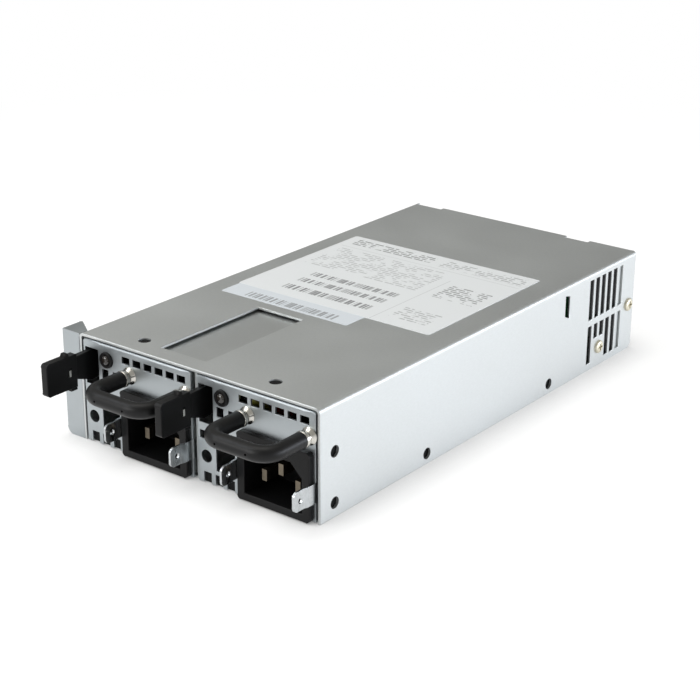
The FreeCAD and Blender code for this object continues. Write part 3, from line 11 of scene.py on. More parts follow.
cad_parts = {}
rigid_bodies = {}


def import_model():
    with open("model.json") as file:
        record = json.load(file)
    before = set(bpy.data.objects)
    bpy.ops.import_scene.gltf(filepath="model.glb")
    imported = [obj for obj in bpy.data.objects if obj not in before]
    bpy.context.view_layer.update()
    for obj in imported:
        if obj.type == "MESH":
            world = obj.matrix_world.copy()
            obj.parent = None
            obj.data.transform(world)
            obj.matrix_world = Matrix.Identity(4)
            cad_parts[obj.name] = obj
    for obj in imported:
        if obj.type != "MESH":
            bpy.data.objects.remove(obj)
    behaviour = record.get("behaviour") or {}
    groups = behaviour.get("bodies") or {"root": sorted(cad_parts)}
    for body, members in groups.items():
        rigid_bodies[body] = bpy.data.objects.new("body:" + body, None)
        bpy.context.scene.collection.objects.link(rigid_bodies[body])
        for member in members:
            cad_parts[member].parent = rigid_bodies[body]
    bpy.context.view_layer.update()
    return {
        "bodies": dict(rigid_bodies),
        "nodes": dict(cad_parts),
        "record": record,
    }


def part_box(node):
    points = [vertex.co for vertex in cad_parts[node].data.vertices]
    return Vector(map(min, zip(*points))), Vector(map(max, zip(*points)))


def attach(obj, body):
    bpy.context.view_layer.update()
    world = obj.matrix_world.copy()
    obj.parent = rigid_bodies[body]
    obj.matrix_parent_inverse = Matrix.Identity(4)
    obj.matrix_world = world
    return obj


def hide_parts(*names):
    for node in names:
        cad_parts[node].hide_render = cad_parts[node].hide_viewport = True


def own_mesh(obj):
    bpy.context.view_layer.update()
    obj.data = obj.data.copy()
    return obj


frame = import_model()

bl_info = {
    "name": "Hot Swap Power Supply Dresser",
    "version": (1, 0, 0),
    "blender": (4, 5, 0),
    "location": "View3D > Sidebar > Power Supply",
    "description": "Models the grips, lamps, screws and labels of a power supply and finishes each part",
    "category": "Object",
}

MM = 0.001
# The turn that makes a circle face the front.
FRONT = (math.pi / 2, 0, 0)
MODULES = (1, 2)
WHITE = (1, 1, 1, 1)
BLACK = (0, 0, 0, 1)
MODULE_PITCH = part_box("module_2_front_plate")[0].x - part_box("module_1_front_plate")[0].x


def linear(code):
    """Turn an sRGB hex colour such as '#9b9a95' into linear red, green and blue."""
    parts = [int(code[i:i + 2], 16) / 255 for i in (1, 3, 5)]
    return tuple(c / 12.92 if c <= 0.04045 else ((c + 0.055) / 1.055) ** 2.4 for c in parts)


def length(name, description, size):
    """A length property, with its default given in millimetres."""
    return FloatProperty(name=name, description=description, default=size * MM, min=0.0, precision=5,
                         unit="LENGTH", subtype="DISTANCE")


def colour(name, description, code):
    """A colour property, with its default given as an sRGB hex value."""
    return FloatVectorProperty(name=name, description=description, default=linear(code), min=0.0, max=1.0,
                               size=3, subtype="COLOR")


class GripSettings(bpy.types.PropertyGroup):
    """Sizes of the U handles and the ferrules at their feet."""
    pin_hole: length("Pin hole", "Radius of the two moulding pin holes in the bar", 0.42)
    pin_inset: length("Pin hole inset", "Distance from each leg to the nearer pin hole", 6.5)
    pin_depth: length("Pin hole depth", "Depth of the pin holes' cutter", 1.3)
    notch: length("Notch", "Width of the small notch in the top of the bar", 1.1)
    notch_inset: length("Notch inset", "Distance from the left leg to the notch", 10.5)
    flange: length("Ferrule flange", "Radius of the ferrule where it meets the front plate", 3.1)
    waist: length("Ferrule waist", "Radius of the ferrule at its waist", 2.15)
    collar: length("Ferrule collar", "Radius of the collar that grips the sleeve", 2.95)
    sides: IntProperty(name="Sides", description="Faces around the grip", default=32, min=12, max=96)


class LampSettings(bpy.types.PropertyGroup):
    """Sizes of the status lamp."""
    dome: length("Dome", "Radius of the lamp's dome", 1.75)
    dome_reach: length("Dome reach", "How far the dome stands out of its holder's seat", 1.1)
    seat: length("Seat", "How far back the dome sits from the holder's rim", 0.45)
    play: length("Play", "Gap around the dome in its holder", 0.15)


class ScrewSettings(bpy.types.PropertyGroup):
    """Sizes of the pan head screws."""
    head: length("Head", "Radius of the screw head", 2.6)
    rise: length("Rise", "Height of the screw head", 1.2)
    recess: length("Recess", "Length of each bar of the cross recess", 3.0)
    recess_width: length("Recess width", "Width of each bar of the cross recess", 0.7)


class LabelSettings(bpy.types.PropertyGroup):
    """Sizes of the two plain labels on the cover."""
    left: length("Left", "From the cover's left to the large label", 8.7)
    front: length("Front", "From the cover's front to the large label", 72.6)
    width: length("Width", "Width of the large label", 86.6)
    depth: length("Depth", "Depth of the large label from front to back", 71.7)
    strip_left: length("Strip left", "From the large label's left to the narrow label's", 0.7)
    strip_width: length("Strip width", "Width of the narrow label", 58.2)
    strip_depth: length("Strip depth", "Depth of the narrow label", 11.2)
    overlap: length("Overlap", "How far the narrow label reaches under the large one", 0.8)
    thickness: length("Thickness", "Thickness of the label stock", 0.12)
    corner: length("Corner", "Radius of the labels' corners", 0.8)


class FinishColours(bpy.types.PropertyGroup):
    """Colours that a user would change."""
    sheet: colour("Zinc sheet", "Reflection colour of the cage's plated steel", "#d4d7d7")
    plate: colour("Front plate", "Reflection colour of the modules' satin plated steel", "#b7bdc0")
    moulding: colour("Moulding", "Black moulded plastic of the inlets and levers", "#101011")
    sleeve: colour("Sleeve", "Soft black sleeve of the handles", "#0e0e0f")
    paper: colour("Label stock", "White label stock", "#e6e9eb")
    strip: colour("Label strip", "Cooler white of the narrow label", "#d9dfe5")
    print_ink: colour("Print", "Grey of the ruled print", "#77787a")
    board: colour("Board", "Solder resist of the circuit boards", "#1f5a33")


SETTINGS = {"psu_grip": GripSettings, "psu_lamp": LampSettings, "psu_screw": ScrewSettings,
            "psu_label": LabelSettings, "psu_colours": FinishColours}


# Modelling steps that every piece shares.

def clear_selection():
    """Leave edit mode and select nothing, because the loaded parts start out selected."""
    if bpy.context.object and bpy.context.object.mode != "OBJECT":
        bpy.ops.object.mode_set(mode="OBJECT")
    bpy.ops.object.select_all(action="DESELECT")


def only(piece):
    """Make one object the active and only selected one."""
    clear_selection()
    piece.select_set(True)
    bpy.context.view_layer.objects.active = piece
    return piece


def begin(add, scale=(1, 1, 1), **settings):
    """Add a primitive at its size and place, put that place in its mesh and open it in edit mode."""
    clear_selection()
    add(**settings)
    bpy.context.object.scale = scale
    bpy.ops.object.transform_apply(location=True, rotation=True, scale=True)
    bpy.ops.object.mode_set(mode="EDIT")
    bpy.ops.mesh.select_mode(type="FACE")
    return bpy.context.object


def select_edges(test):
    """In edit mode, select just the edges that pass the test."""
    mesh = bmesh.from_edit_mesh(bpy.context.edit_object.data)
    for part in (*mesh.verts, *mesh.edges, *mesh.faces):
        part.select = False
    for edge in mesh.edges:
        edge.select_set(test(edge))
    bmesh.update_edit_mesh(bpy.context.edit_object.data)


def close_edit():
    """Merge doubles, turn all faces outwards and leave edit mode; returns the piece."""
    bpy.ops.mesh.select_all(action="SELECT")
    bpy.ops.mesh.remove_doubles(threshold=1e-6)
    bpy.ops.mesh.normals_make_consistent(inside=False)
    bpy.ops.object.mode_set(mode="OBJECT")
    return bpy.context.object


def turned(centre, direction, rings, sides):
    """A turned piece: a disc at centre is drawn out along direction, ring by ring (distance, radius)."""
    along = Vector(direction)
    turn = along.to_track_quat("Z", "Y").to_euler()
    distance, radius = rings[0]
    piece = begin(bpy.ops.mesh.primitive_circle_add, vertices=sides, radius=radius, fill_type="NGON",
                  location=Vector(centre) + along * distance, rotation=turn)
    bpy.ops.mesh.select_all(action="SELECT")
    for next_distance, next_radius in rings[1:]:
        step = along * (next_distance - distance)
        bpy.ops.mesh.extrude_region_move(TRANSFORM_OT_translate={"value": step})
        share = next_radius / radius
        bpy.ops.transform.resize(value=(share, share, share),
                                 center_override=Vector(centre) + along * next_distance)
        distance, radius = next_distance, next_radius
    close_edit()
    return piece


def add_modifier(piece, kind, **settings):
    """Add a modifier with these settings to the piece and apply it."""
    only(piece)
    bpy.ops.object.modifier_add(type=kind)
    modifier = piece.modifiers[-1]
    for name, value in settings.items():
        setattr(modifier, name, value)
    bpy.ops.object.modifier_apply(modifier=modifier.name)


def carve(piece, cutter):
    """Cut the cutter's shape out of the piece and delete the cutter."""
    add_modifier(piece, "BOOLEAN", operation="DIFFERENCE", solver="EXACT", object=cutter)
    only(cutter)
    bpy.ops.object.delete()
    only(piece)


def block(low, high):
    """A plain block between two corners."""
    size = Vector(high) - Vector(low)
    begin(bpy.ops.mesh.primitive_cube_add, size=1, location=(Vector(low) + Vector(high)) / 2, scale=size)
    return close_edit()


def copied(piece, shift):
    """A copy of the piece with its own mesh, moved by shift."""
    only(piece)
    bpy.ops.object.duplicate(linked=False)
    bpy.ops.transform.translate(value=shift)
    bpy.ops.object.transform_apply(location=True, rotation=True, scale=True)
    return bpy.context.object


# Shader steps that every finish shares.

def solid(rgb, share=1.0):
    """A share of a linear colour, with full alpha, as a shader socket takes it."""
    return (*(c * share for c in rgb), 1.0)


def per(size):
    """The texture scale whose features are about this many millimetres across."""
    return 1.0 / (size * MM)


class Nodes:
    """Short ways to add shader nodes to one tree."""

    def __init__(self, tree):
        self.tree = tree

    def own(self, kind):
        """The node of this kind that the tree starts with."""
        return next(node for node in self.tree.nodes if node.type == kind)

    def add(self, kind, inputs=None, **settings):
        """Add a node, each input a plain value or another node's socket; returns its outputs."""
        made = self.tree.nodes.new(kind)
        for name, value in settings.items():
            setattr(made, name, value)
        for name, value in (inputs or {}).items():
            if isinstance(value, bpy.types.NodeSocket):
                self.tree.links.new(value, made.inputs[name])
            else:
                made.inputs[name].default_value = value
        return made.outputs

    def combine(self, operation, *values, **settings):
        """One sum of two or three values."""
        return self.add("ShaderNodeMath", dict(enumerate(values)), operation=operation, **settings)[0]

    def spread(self, value, start=0.0, end=1.0, low=0.0, high=1.0):
        """The value's stretch from start to end, spread over low to high."""
        return self.add("ShaderNodeMapRange", {"Value": value, "From Min": start, "From Max": end,
                                               "To Min": low, "To Max": high})[0]

    def blend(self, share, first, second):
        """The colour that runs from the first to the second as the share grows."""
        return self.add("ShaderNodeMix", {0: share, 6: first, 7: second}, data_type="RGBA")[2]


class Mixture(Nodes):
    """A material in the making. Its patterns use object coordinates, so that they keep their real size."""

    def __init__(self, name, **values):
        self.material = bpy.data.materials.new(name)
        self.material.use_nodes = True
        super().__init__(self.material.node_tree)
        self.shader = self.own("BSDF_PRINCIPLED")
        self.place = self.add("ShaderNodeTexCoord")["Object"]
        for socket, value in values.items():
            self.shader.inputs[socket.replace("_", " ")].default_value = value

    def noise(self, size, detail, stretch=None):
        """Soft noise with features about this many millimetres across."""
        place = self.place
        if stretch:
            place = self.add("ShaderNodeMapping", {"Vector": place, "Scale": stretch})[0]
        return self.add("ShaderNodeTexNoise", {"Vector": place, "Scale": per(size), "Detail": detail})[0]

    def feed(self, socket, value):
        """Let a value drive one of the shader's sockets; returns the value."""
        self.tree.links.new(value, self.shader.inputs[socket])
        return value

    def tone(self, share, first, second):
        """Base colour that runs from the first to the second colour as the share grows."""
        self.feed("Base Color", self.blend(share, first, second))

    def roughness(self, value, low, high, start=0.0, end=1.0):
        """Roughness that runs from low to high as the value runs from start to end."""
        self.feed("Roughness", self.spread(value, start, end, low, high))

    def relief(self, height, strength, depth, **under):
        """Bumps this many millimetres deep, over the relief given as Normal if there is one."""
        sockets = {"Height": height, "Strength": strength, "Distance": depth * MM, **under}
        return self.feed("Normal", self.add("ShaderNodeBump", sockets)[0])


def rolled_zinc(name, base):
    """Zinc plated steel off the roll: dull metal with a fine grain that breaks up the reflections."""
    mix = Mixture(name, Metallic=1.0)
    # Real spangle is about 0.1 mm; it is drawn at 0.45 mm so that it shows at the picture's scale.
    grain = mix.noise(0.45, 3.0, stretch=(1.0, 0.35, 1.0))
    cloud = mix.noise(38.0, 2.0)
    mix.tone(grain, solid(base, 0.86), solid(base))
    mix.roughness(mix.combine("ADD", grain, cloud), 0.44, 0.56, start=0.6, end=1.4)
    mix.relief(grain, strength=0.12, depth=0.04)
    return mix.material


def zinc_sheet():
    """Electro zinc plated steel sheet of the cage: pale, with a fine rolled grain."""
    return rolled_zinc("Electro zinc plated steel sheet", bpy.context.scene.psu_colours.sheet)


def lid_zinc():
    """The same sheet on the modules' lids, drawn a tenth darker: painted shade for the lid seen down in the
    cover's window.
    """
    # A tenth darker than the cage's sheet: painted shade for the recess under the cover's window.
    rubbed = [c * 0.9 for c in bpy.context.scene.psu_colours.sheet]
    return rolled_zinc("Rubbed zinc plated steel sheet", rubbed)


def plate_zinc():
    """Satin zinc plate over pressed steel: smoother and cooler than the cage, with soft cloudy patches."""
    base = bpy.context.scene.psu_colours.plate
    mix = Mixture("Satin zinc plated pressing", Metallic=1.0)
    # Plating cloud is a few millimetres across; the pickled grain under it is drawn at 0.3 mm to show.
    cloud = mix.noise(6.0, 3.0)
    mix.tone(cloud, solid(base, 0.84), solid(base))
    mix.roughness(cloud, 0.4, 0.5, start=0.3, end=0.7)
    mix.relief(mix.noise(0.3, 2.0), strength=0.1, depth=0.03)
    return mix.material


def black_moulding():
    """Glass filled nylon off a spark eroded tool: near black, its highlights dulled by a fine grain."""
    mix = Mixture("Spark eroded black nylon", Specular_IOR_Level=0.22,
                  Base_Color=solid(bpy.context.scene.psu_colours.moulding))
    # Spark erosion leaves pits of about 0.05 mm; they are drawn at 0.25 mm.
    pits = mix.noise(0.25, 2.0)
    mix.roughness(pits, 0.38, 0.5, start=0.3, end=0.7)
    mix.relief(pits, strength=0.25, depth=0.03)
    return mix.material


def handle_rubber():
    """Dipped soft vinyl sleeve: matt black with long soft highlights and a faint waviness from dipping."""
    mix = Mixture("Dipped soft vinyl", Specular_IOR_Level=0.28,
                  Base_Color=solid(bpy.context.scene.psu_colours.sleeve))
    skin = mix.noise(0.3, 2.0)
    mix.roughness(skin, 0.36, 0.46, start=0.3, end=0.7)
    wave = mix.relief(mix.noise(2.5, 1.0), strength=0.3, depth=0.08)
    mix.relief(skin, strength=0.15, depth=0.02, Normal=wave)
    return mix.material


def turned_metal(name, code, ring, low, high):
    """A lathe finished metal: rings of tool marks this many millimetres apart stretch its highlights."""
    mix = Mixture(name, Metallic=1.0)
    base = linear(code)
    marks = mix.add("ShaderNodeTexWave", {"Vector": mix.place, "Scale": per(ring) / 20.0, "Distortion": 1.5,
                                          "Detail": 2.0}, bands_direction="Y")[0]
    mix.tone(mix.noise(1.2, 3.0), solid(base, 0.7), solid(base))
    mix.roughness(marks, low, high)
    mix.relief(marks, strength=0.15, depth=0.02)
    return mix.material


def bright_steel():
    """Nickel plated turned steel: bright, with fine rings that catch the light."""
    return turned_metal("Nickel plated turned steel", "#dcd9d2", 0.3, 0.16, 0.26)


def tab_nickel():
    """Bright rolled nickel on the retainer tabs: smooth enough to mirror the black inlet beside them."""
    return turned_metal("Bright nickel plated strip", "#cfd3d5", 0.8, 0.24, 0.3)


def spring_steel():
    """Blued spring strip: dark olive grey metal, only faintly shiny."""
    return turned_metal("Blued spring strip", "#4a4a40", 0.6, 0.34, 0.44)


def blade_nickel():
    """Nickel on stamped brass blades, drawn much darker than bright nickel: painted shade for the blades
    deep in the inlet's cavity.
    """
    # The dark warm grey is painted shade: the blades sit deep in the inlet's cavity.
    return turned_metal("Dull nickel plated brass", "#7d7466", 0.5, 0.3, 0.42)


def terminal_brass():
    """Tinned brass tabs: yellowish with grey tarnish in the stamping marks."""
    return turned_metal("Tinned brass", "#c7a96a", 0.5, 0.28, 0.4)


def screw_zinc():
    """Yellow passivated zinc on a cold headed screw: brassy grey with a slight iridescence."""
    return turned_metal("Yellow passivated zinc", "#eae4d0", 0.4, 0.42, 0.52)


def insulating_film():
    """Dull black film behind an opening: painted shade that stands in for the darkness an opening shows."""
    mix = Mixture("Black insulating film", Specular_IOR_Level=0.15, Base_Color=solid(linear("#101011")))
    mix.roughness(mix.noise(3.0, 1.0), 0.5, 0.65)
    return mix.material


def black_aluminium():
    """Black anodised extrusion: matt black metal with fine die lines along the fins."""
    mix = Mixture("Black anodised extrusion", Metallic=0.6, Base_Color=solid(linear("#242527")))
    mix.roughness(mix.noise(0.3, 2.0, stretch=(1.0, 0.05, 1.0)), 0.32, 0.5)
    return mix.material


def circuit_board():
    """Green solder resist over copper tracks on glass fibre: glossy green with lighter track shapes."""
    base = bpy.context.scene.psu_colours.board
    mix = Mixture("Green solder resist", Roughness=0.3, IOR=1.5)
    # Tracks are about 1.2 mm wide on a power board.
    cells = mix.add("ShaderNodeTexVoronoi", {"Vector": mix.place, "Scale": per(2.4), "Randomness": 0.35},
                    distance="MANHATTAN", feature="F1")["Distance"]
    edge = mix.spread(cells, start=0.42, end=0.5)
    mix.tone(edge, solid(base), solid([min(1.0, c * 1.9 + 0.01) for c in base]))
    mix.relief(edge, strength=0.3, depth=0.05)
    return mix.material


def capacitor_sleeve():
    """Shrunk sleeve over an aluminium can: dark, smooth and slightly wrinkled where it shrank."""
    mix = Mixture("Shrunk plastic sleeve", Roughness=0.28, IOR=1.5)
    shrink = mix.noise(4.0, 2.0)
    mix.tone(shrink, solid(linear("#23201d")), solid(linear("#37312b")))
    mix.relief(shrink, strength=0.2, depth=0.1)
    return mix.material


def film_case():
    """Flame retardant box of a film capacitor: dull yellow plastic with a moulded bloom."""
    mix = Mixture("Yellow capacitor box", Roughness=0.42, IOR=1.5)
    mix.tone(mix.noise(3.0, 2.0), solid(linear("#b7a23e")), solid(linear("#cdb850")))
    return mix.material


def ferrite():
    """Sintered ferrite core under yellow tape: dark grey, chalky and slightly speckled."""
    mix = Mixture("Sintered ferrite", IOR=1.7)
    speck = mix.noise(0.5, 3.0)
    mix.tone(speck, solid(linear("#2b2b2d")), solid(linear("#46464a")))
    mix.roughness(speck, 0.5, 0.7)
    return mix.material


def lamp_lens():
    """Smoked epoxy dome of an unlit lamp: dark grey brown and half clear, with a sharp highlight."""
    mix = Mixture("Smoked epoxy lens", Roughness=0.12, IOR=1.55, Coat_Weight=0.3, Transmission_Weight=0.25)
    facing = mix.add("ShaderNodeLayerWeight", {"Blend": 0.45})["Facing"]
    depth = mix.combine("MULTIPLY", facing, mix.noise(0.8, 1.0))
    mix.tone(depth, solid(linear("#38332f")), solid(linear("#151312")))
    return mix.material


# Print on the labels: kind, left, right, front and back in millimetres, and how dark the print is.
LARGE_LABEL_ZONES = [
    ("lines", -40.0, -2.0, 36.0, 43.0, 0.9),
    ("lines", 2.0, 40.0, 35.0, 43.0, 0.6),
    ("lines", -40.0, 12.0, 7.0, 30.0, 0.45),
    ("lines", 20.0, 38.0, 6.0, 20.0, 0.85),
    ("lines", 20.0, 36.0, -20.0, -9.0, 0.55),
    ("bars", -29.0, 10.5, -3.5, 0.5, 0.85),
    ("bars", -29.0, 10.5, -11.0, -7.0, 0.85),
    ("bars", -29.0, 10.5, -20.0, -15.5, 0.9),
    ("rule", 16.2, 16.5, -26.0, 24.0, 0.35),
    ("rule", -42.0, 41.0, 32.4, 32.7, 0.3),
]
STRIP_LABEL_ZONES = [("bars", -34.0, 7.0, -35.5, -30.8, 0.75)]


def printed_stock(name, base, zones, line, word, bars):
    """Label stock with grey print: ruled lines of this pitch broken into words, and bars (mm)."""
    mix = Mixture(name, Roughness=0.42, IOR=1.5, Coat_Weight=0.15, Coat_Roughness=0.25)
    axes = mix.add("ShaderNodeSeparateXYZ", {0: mix.place})
    bricks = {"Vector": mix.place, "Color1": WHITE, "Color2": WHITE, "Mortar": BLACK, "Scale": 1.0,
              "Mortar Size": line * MM * 0.3, "Mortar Smooth": 0.2, "Brick Width": word * MM,
              "Row Height": line * MM}
    rows = mix.add("ShaderNodeTexBrick", bricks)["Color"]
    words = mix.spread(mix.noise(word, 1.0), start=0.44, end=0.5)
    tall = mix.add("ShaderNodeTexNoise", {"W": axes["X"], "Scale": per(bars), "Detail": 1.0},
                   noise_dimensions="1D")[0]
    written = mix.combine("MULTIPLY", rows, words)
    patterns = {"lines": written, "bars": mix.spread(tall, start=0.46, end=0.52), "rule": 1.0}
    print_so_far = 0.0
    for kind, left, right, front, back, ink in zones:
        across, along = (mix.combine("COMPARE", axes[axis], (low + high) / 2 * MM, (high - low) / 2 * MM)
                         for axis, low, high in (("X", left, right), ("Y", front, back)))
        printed = mix.combine("MULTIPLY", mix.combine("MULTIPLY", across, along), patterns[kind])
        print_so_far = mix.combine("MULTIPLY_ADD", printed, ink, print_so_far)
    mix.tone(print_so_far, solid(base), solid(bpy.context.scene.psu_colours.print_ink))
    return mix.material


def label_paper():
    """Coated paper label: a soft white sheen, ruled with faint grey lines of print and rows of bars."""
    paper = bpy.context.scene.psu_colours.paper
    return printed_stock("Coated label paper", paper, LARGE_LABEL_ZONES, line=1.7, word=5.0, bars=1.1)


def label_strip():
    """Polyester label strip: a cooler white than the paper, with one row of ruled bars."""
    strip = bpy.context.scene.psu_colours.strip
    return printed_stock("Polyester label strip", strip, STRIP_LABEL_ZONES, line=2.0, word=6.0, bars=1.0)


def wire_cover(name, code):
    """Extruded vinyl wire cover: clean saturated colour with a soft shine."""
    mix = Mixture(name, Roughness=0.38, IOR=1.5)
    mix.tone(mix.noise(1.5, 1.0), solid(linear(code), 0.8), solid(linear(code)))
    return mix.material


def earth_wire():
    """Yellow and green cover of the earth wire, seen as one mixed colour through the vent."""
    return wire_cover("Yellow green wire cover", "#96913c")


def live_wire():
    """Red cover of the live wire."""
    return wire_cover("Red wire cover", "#8a2a22")


FINISHES = {make.__name__: make for make in (
    zinc_sheet, lid_zinc, plate_zinc, black_moulding, handle_rubber, bright_steel, tab_nickel, spring_steel,
    blade_nickel, terminal_brass, screw_zinc, insulating_film, black_aluminium, circuit_board,
    capacitor_sleeve, film_case, ferrite, lamp_lens, label_paper, label_strip, earth_wire, live_wire)}
# Parts whose metal looks unlike the rest of their slot, by the end of their name.
OTHER_LOOKS = {"retainer_tabs": "tab_nickel", "chassis_ear": "plate_zinc", "_lid": "lid_zinc"}
mixed_finishes = {}


def finish(name):
    """The material of this name, mixed the first time it is asked for."""
    if name not in mixed_finishes:
        mixed_finishes[name] = FINISHES[name]()
    return mixed_finishes[name]


def look_of(node):
    """The finish that a plain part shows."""
    for ending, look in OTHER_LOOKS.items():
        if node.endswith(ending):
            return look
    return slot_of(node)


# Pieces. Bare sizes in the tables are millimetres.

# Parts with rounded edges, and each edge's radius.
CAGE_EDGES = {"cage_cover": 0.22, "chassis_ear": 0.25, "rear_panel": 0.18}
MODULE_EDGES = {"front_plate": 0.12, "retainer_tabs": 0.1, "inlet_housing": 0.35, "latch_lever": 0.3,
                "latch_spring": 0.05}
# Edges shorter than this many radii stay sharp.
SHORT_EDGE = 8
FLAT_ANGLE = math.radians(0.5)
SHARP_ANGLE = math.radians(50)
SMOOTH_ANGLE = math.radians(38)
PLATE_LIP = 0.85
# Cuts across the rear of the ear's top flange: how deep the flange is left, and the cut's slant in degrees.
EAR_TRIMS = ((9.6, 34), (8.4, -42))
EAR_FLANGE = 1.2


def slot_of(node):
    """The record's finish slot of a plain part."""
    for part in frame["record"]["subparts"]:
        if part["node"] == node:
            return part["material_slot"]
    raise KeyError(node)


def body_of(node):
    """The body that carries a plain part."""
    carrier = frame["nodes"][node].parent
    return next(name for name, body in frame["bodies"].items() if body is carrier)


def settle(piece, name, body, look, stands_for=()):
    """Name and finish a piece, hang it on its body and let it stand for the plain parts it replaces."""
    only(piece)
    piece.name = piece.data.name = name
    piece.data.materials.clear()
    piece.data.materials.append(finish(look))
    bpy.ops.object.shade_smooth_by_angle(angle=SMOOTH_ANGLE)
    add_modifier(piece, "WEIGHTED_NORMAL", keep_sharp=True, weight=80)
    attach(piece, body)
    if stands_for:
        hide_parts(*stands_for)


def settle_in_modules(piece, name, slot, stands_for="", body="module", look=""):
    """Settle the first module's piece, and a copy of it in the second module."""
    for number, part in zip(MODULES, (piece, copied(piece, (MODULE_PITCH, 0, 0)))):
        replaced = [f"module_{number}_{stands_for}"] if stands_for else []
        settle(part, f"module_{number}_{name}", f"{body}_{number}", look or slot, replaced)


def long_and_sharp(shortest):
    """A test for sharp edges that are at least this long."""
    def test(edge):
        if len(edge.link_faces) != 2 or edge.calc_length() < shortest:
            return False
        return edge.calc_face_angle() > SHARP_ANGLE
    return test


def top_front(node):
    """A test for the edges along a part's upper front corner."""
    low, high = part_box(node)
    near = 0.01 * MM
    return lambda edge: all(v.co.z > high.z - near and v.co.y < low.y + near for v in edge.verts)


def soften_edges(node, radius, lip=0):
    """A merged copy of a plain part with its long edges rounded, as a press or a mould leaves them."""
    mesh = frame["nodes"][node].data.copy()
    piece = bpy.data.objects.new(node + "_softened", mesh)
    bpy.context.scene.collection.objects.link(piece)
    only(piece)
    bpy.ops.object.mode_set(mode="EDIT")
    bpy.ops.mesh.select_mode(type="FACE")
    bpy.ops.mesh.select_all(action="SELECT")
    bpy.ops.mesh.remove_doubles(threshold=2e-6)
    bpy.ops.mesh.tris_convert_to_quads(face_threshold=FLAT_ANGLE, shape_threshold=math.pi)
    bpy.ops.mesh.select_mode(type="EDGE")
    if lip:
        select_edges(top_front(node))
        bpy.ops.mesh.bevel(offset=lip * MM, segments=5, clamp_overlap=False)
    select_edges(long_and_sharp(radius * MM * SHORT_EDGE))
    bpy.ops.mesh.bevel(offset=radius * MM, segments=2, clamp_overlap=False)
    return close_edit()


def trim_ear(ear):
    """Cut the rear of the ear's top flange off at a slant, and its outer corner the other way."""
    low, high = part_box("chassis_ear")
    outside, behind = Vector((5, 0, 0)) * MM, Vector((20, 20, 3)) * MM
    for depth, slant in EAR_TRIMS:
        corner = Vector((low.x, low.y + depth * MM, high.z - EAR_FLANGE * MM))
        cutter = block(corner - outside, corner + behind)
        only(cutter)
        bpy.ops.transform.rotate(value=math.radians(slant), orient_axis="Z", center_override=corner)
        bpy.ops.object.transform_apply(location=True, rotation=True, scale=True)
        carve(ear, cutter)


class PSU_OT_press_parts(bpy.types.Operator):
    """Round the edges of the pressed and moulded parts that the eye meets first"""
    bl_idname = "psu.press_parts"
    bl_label = "Press and mould the parts"

    def execute(self, context):
        edges = dict(CAGE_EDGES)
        for part, radius in MODULE_EDGES.items():
            edges.update({f"module_{number}_{part}": radius for number in MODULES})
        for node, radius in edges.items():
            piece = soften_edges(node, radius, PLATE_LIP if node.endswith("front_plate") else 0)
            if node == "chassis_ear":
                trim_ear(piece)
            settle(piece, node + "_softened", body_of(node), look_of(node), [node])
        for number in MODULES:
            spring = f"module_{number}_latch_spring"
            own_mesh(bpy.data.objects[spring + "_softened"])
        return {"FINISHED"}


FILM_THICKNESS = 0.12
# Black films behind a mount's holes, painted shade for the holes' dark insides: the way they face, how deep
# they lie and their radius.
HOLE_FILMS = {
    "top_front_holes": ((0, 0, 1), 0.05, 2.15), "right_front_holes": ((1, 0, 0), 0.85, 3.0),
    "right_low_holes": ((1, 0, 0), 0.85, 3.0), "left_low_holes": ((-1, 0, 0), 0.85, 3.0),
}
# Black films inside the side vents, painted shade for the vents' dark insides: from and to under the wall's
# face, behind the cover's front and off its top.
VENT_FILM_DEPTHS = (2.05, 2.2)
VENT_FILM_RUN = (161.5, 186.3)
VENT_FILM_MARGIN = 1.5
# The black film behind a front plate's notches, painted shade for their dark insides: from and to, off the
# plate's left and its foot.
NOTCH_FILM = ((1.9, 0.05), (16.3, 4.4))


def screw_spots(name):
    """Where the holes of a two hole mount lie, from the record's place and spacing."""
    mount = next(entry for entry in frame["record"]["mounts"] if entry["name"] == name)
    middle, sizes = Vector(mount["pos_m"]), mount["dims"]
    if name.startswith("top"):
        step = Vector((sizes["spacing_x_mm"], 0, 0))
    elif "spacing_x_mm" in sizes:
        step = Vector((0, sizes["spacing_x_mm"], 0))
    else:
        step = Vector((0, 0, sizes["spacing_y_mm"]))
    return [middle - step * MM / 2, middle + step * MM / 2]


class PSU_OT_line_openings(bpy.types.Operator):
    """Lay black film behind the cage's holes, its side vents and the plates' notches: painted shade that
    keeps the openings dark
    """
    bl_idname = "psu.line_openings"
    bl_label = "Shade the openings"

    def execute(self, context):
        low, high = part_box("cage_cover")
        films = {}
        for name, (way, depth, radius) in HOLE_FILMS.items():
            rings = [(0, radius * MM), (FILM_THICKNESS * MM, radius * MM)]
            for number, spot in enumerate(screw_spots(name), 1):
                behind = spot - Vector(way) * depth * MM
                films[f"{name}_film_{number}"] = turned(behind, way, rings, sides=24)
        front, back = (low.y + run * MM for run in VENT_FILM_RUN)
        margin = VENT_FILM_MARGIN * MM
        for side, wall, inward in (("left", low.x, 1), ("right", high.x, -1)):
            near, far = sorted(wall + inward * depth * MM for depth in VENT_FILM_DEPTHS)
            films[f"{side}_vent_film"] = block((near, front, margin), (far, back, high.z - margin))
        for name, film in films.items():
            # Each film is painted shade: a black sheet where the openings show only darkness.
            settle(film, name, "cage", "insulating_film")
        plate_low, plate_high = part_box("module_1_front_plate")
        (left, foot), (right, top) = NOTCH_FILM
        film = block((plate_low.x + left * MM, plate_high.y - FILM_THICKNESS * MM, plate_low.z + foot * MM),
                     (plate_low.x + right * MM, plate_high.y, plate_low.z + top * MM))
        settle_in_modules(film, "notch_film", "black_moulding", look="insulating_film")
        return {"FINISHED"}


# The lever's finger tab stands past this reach from the plate; its pin lies between two more reaches.
TAB_REACH = 12
PIN_REACHES = (10.4, 9.5)
# The pin's foot and head off the tab's middle, and how far it sinks into the tab and stands out of it.
PIN_LEVELS = (-1.5, 0.8)
PIN_SINK = 0.3
PIN_RISE = 0.03


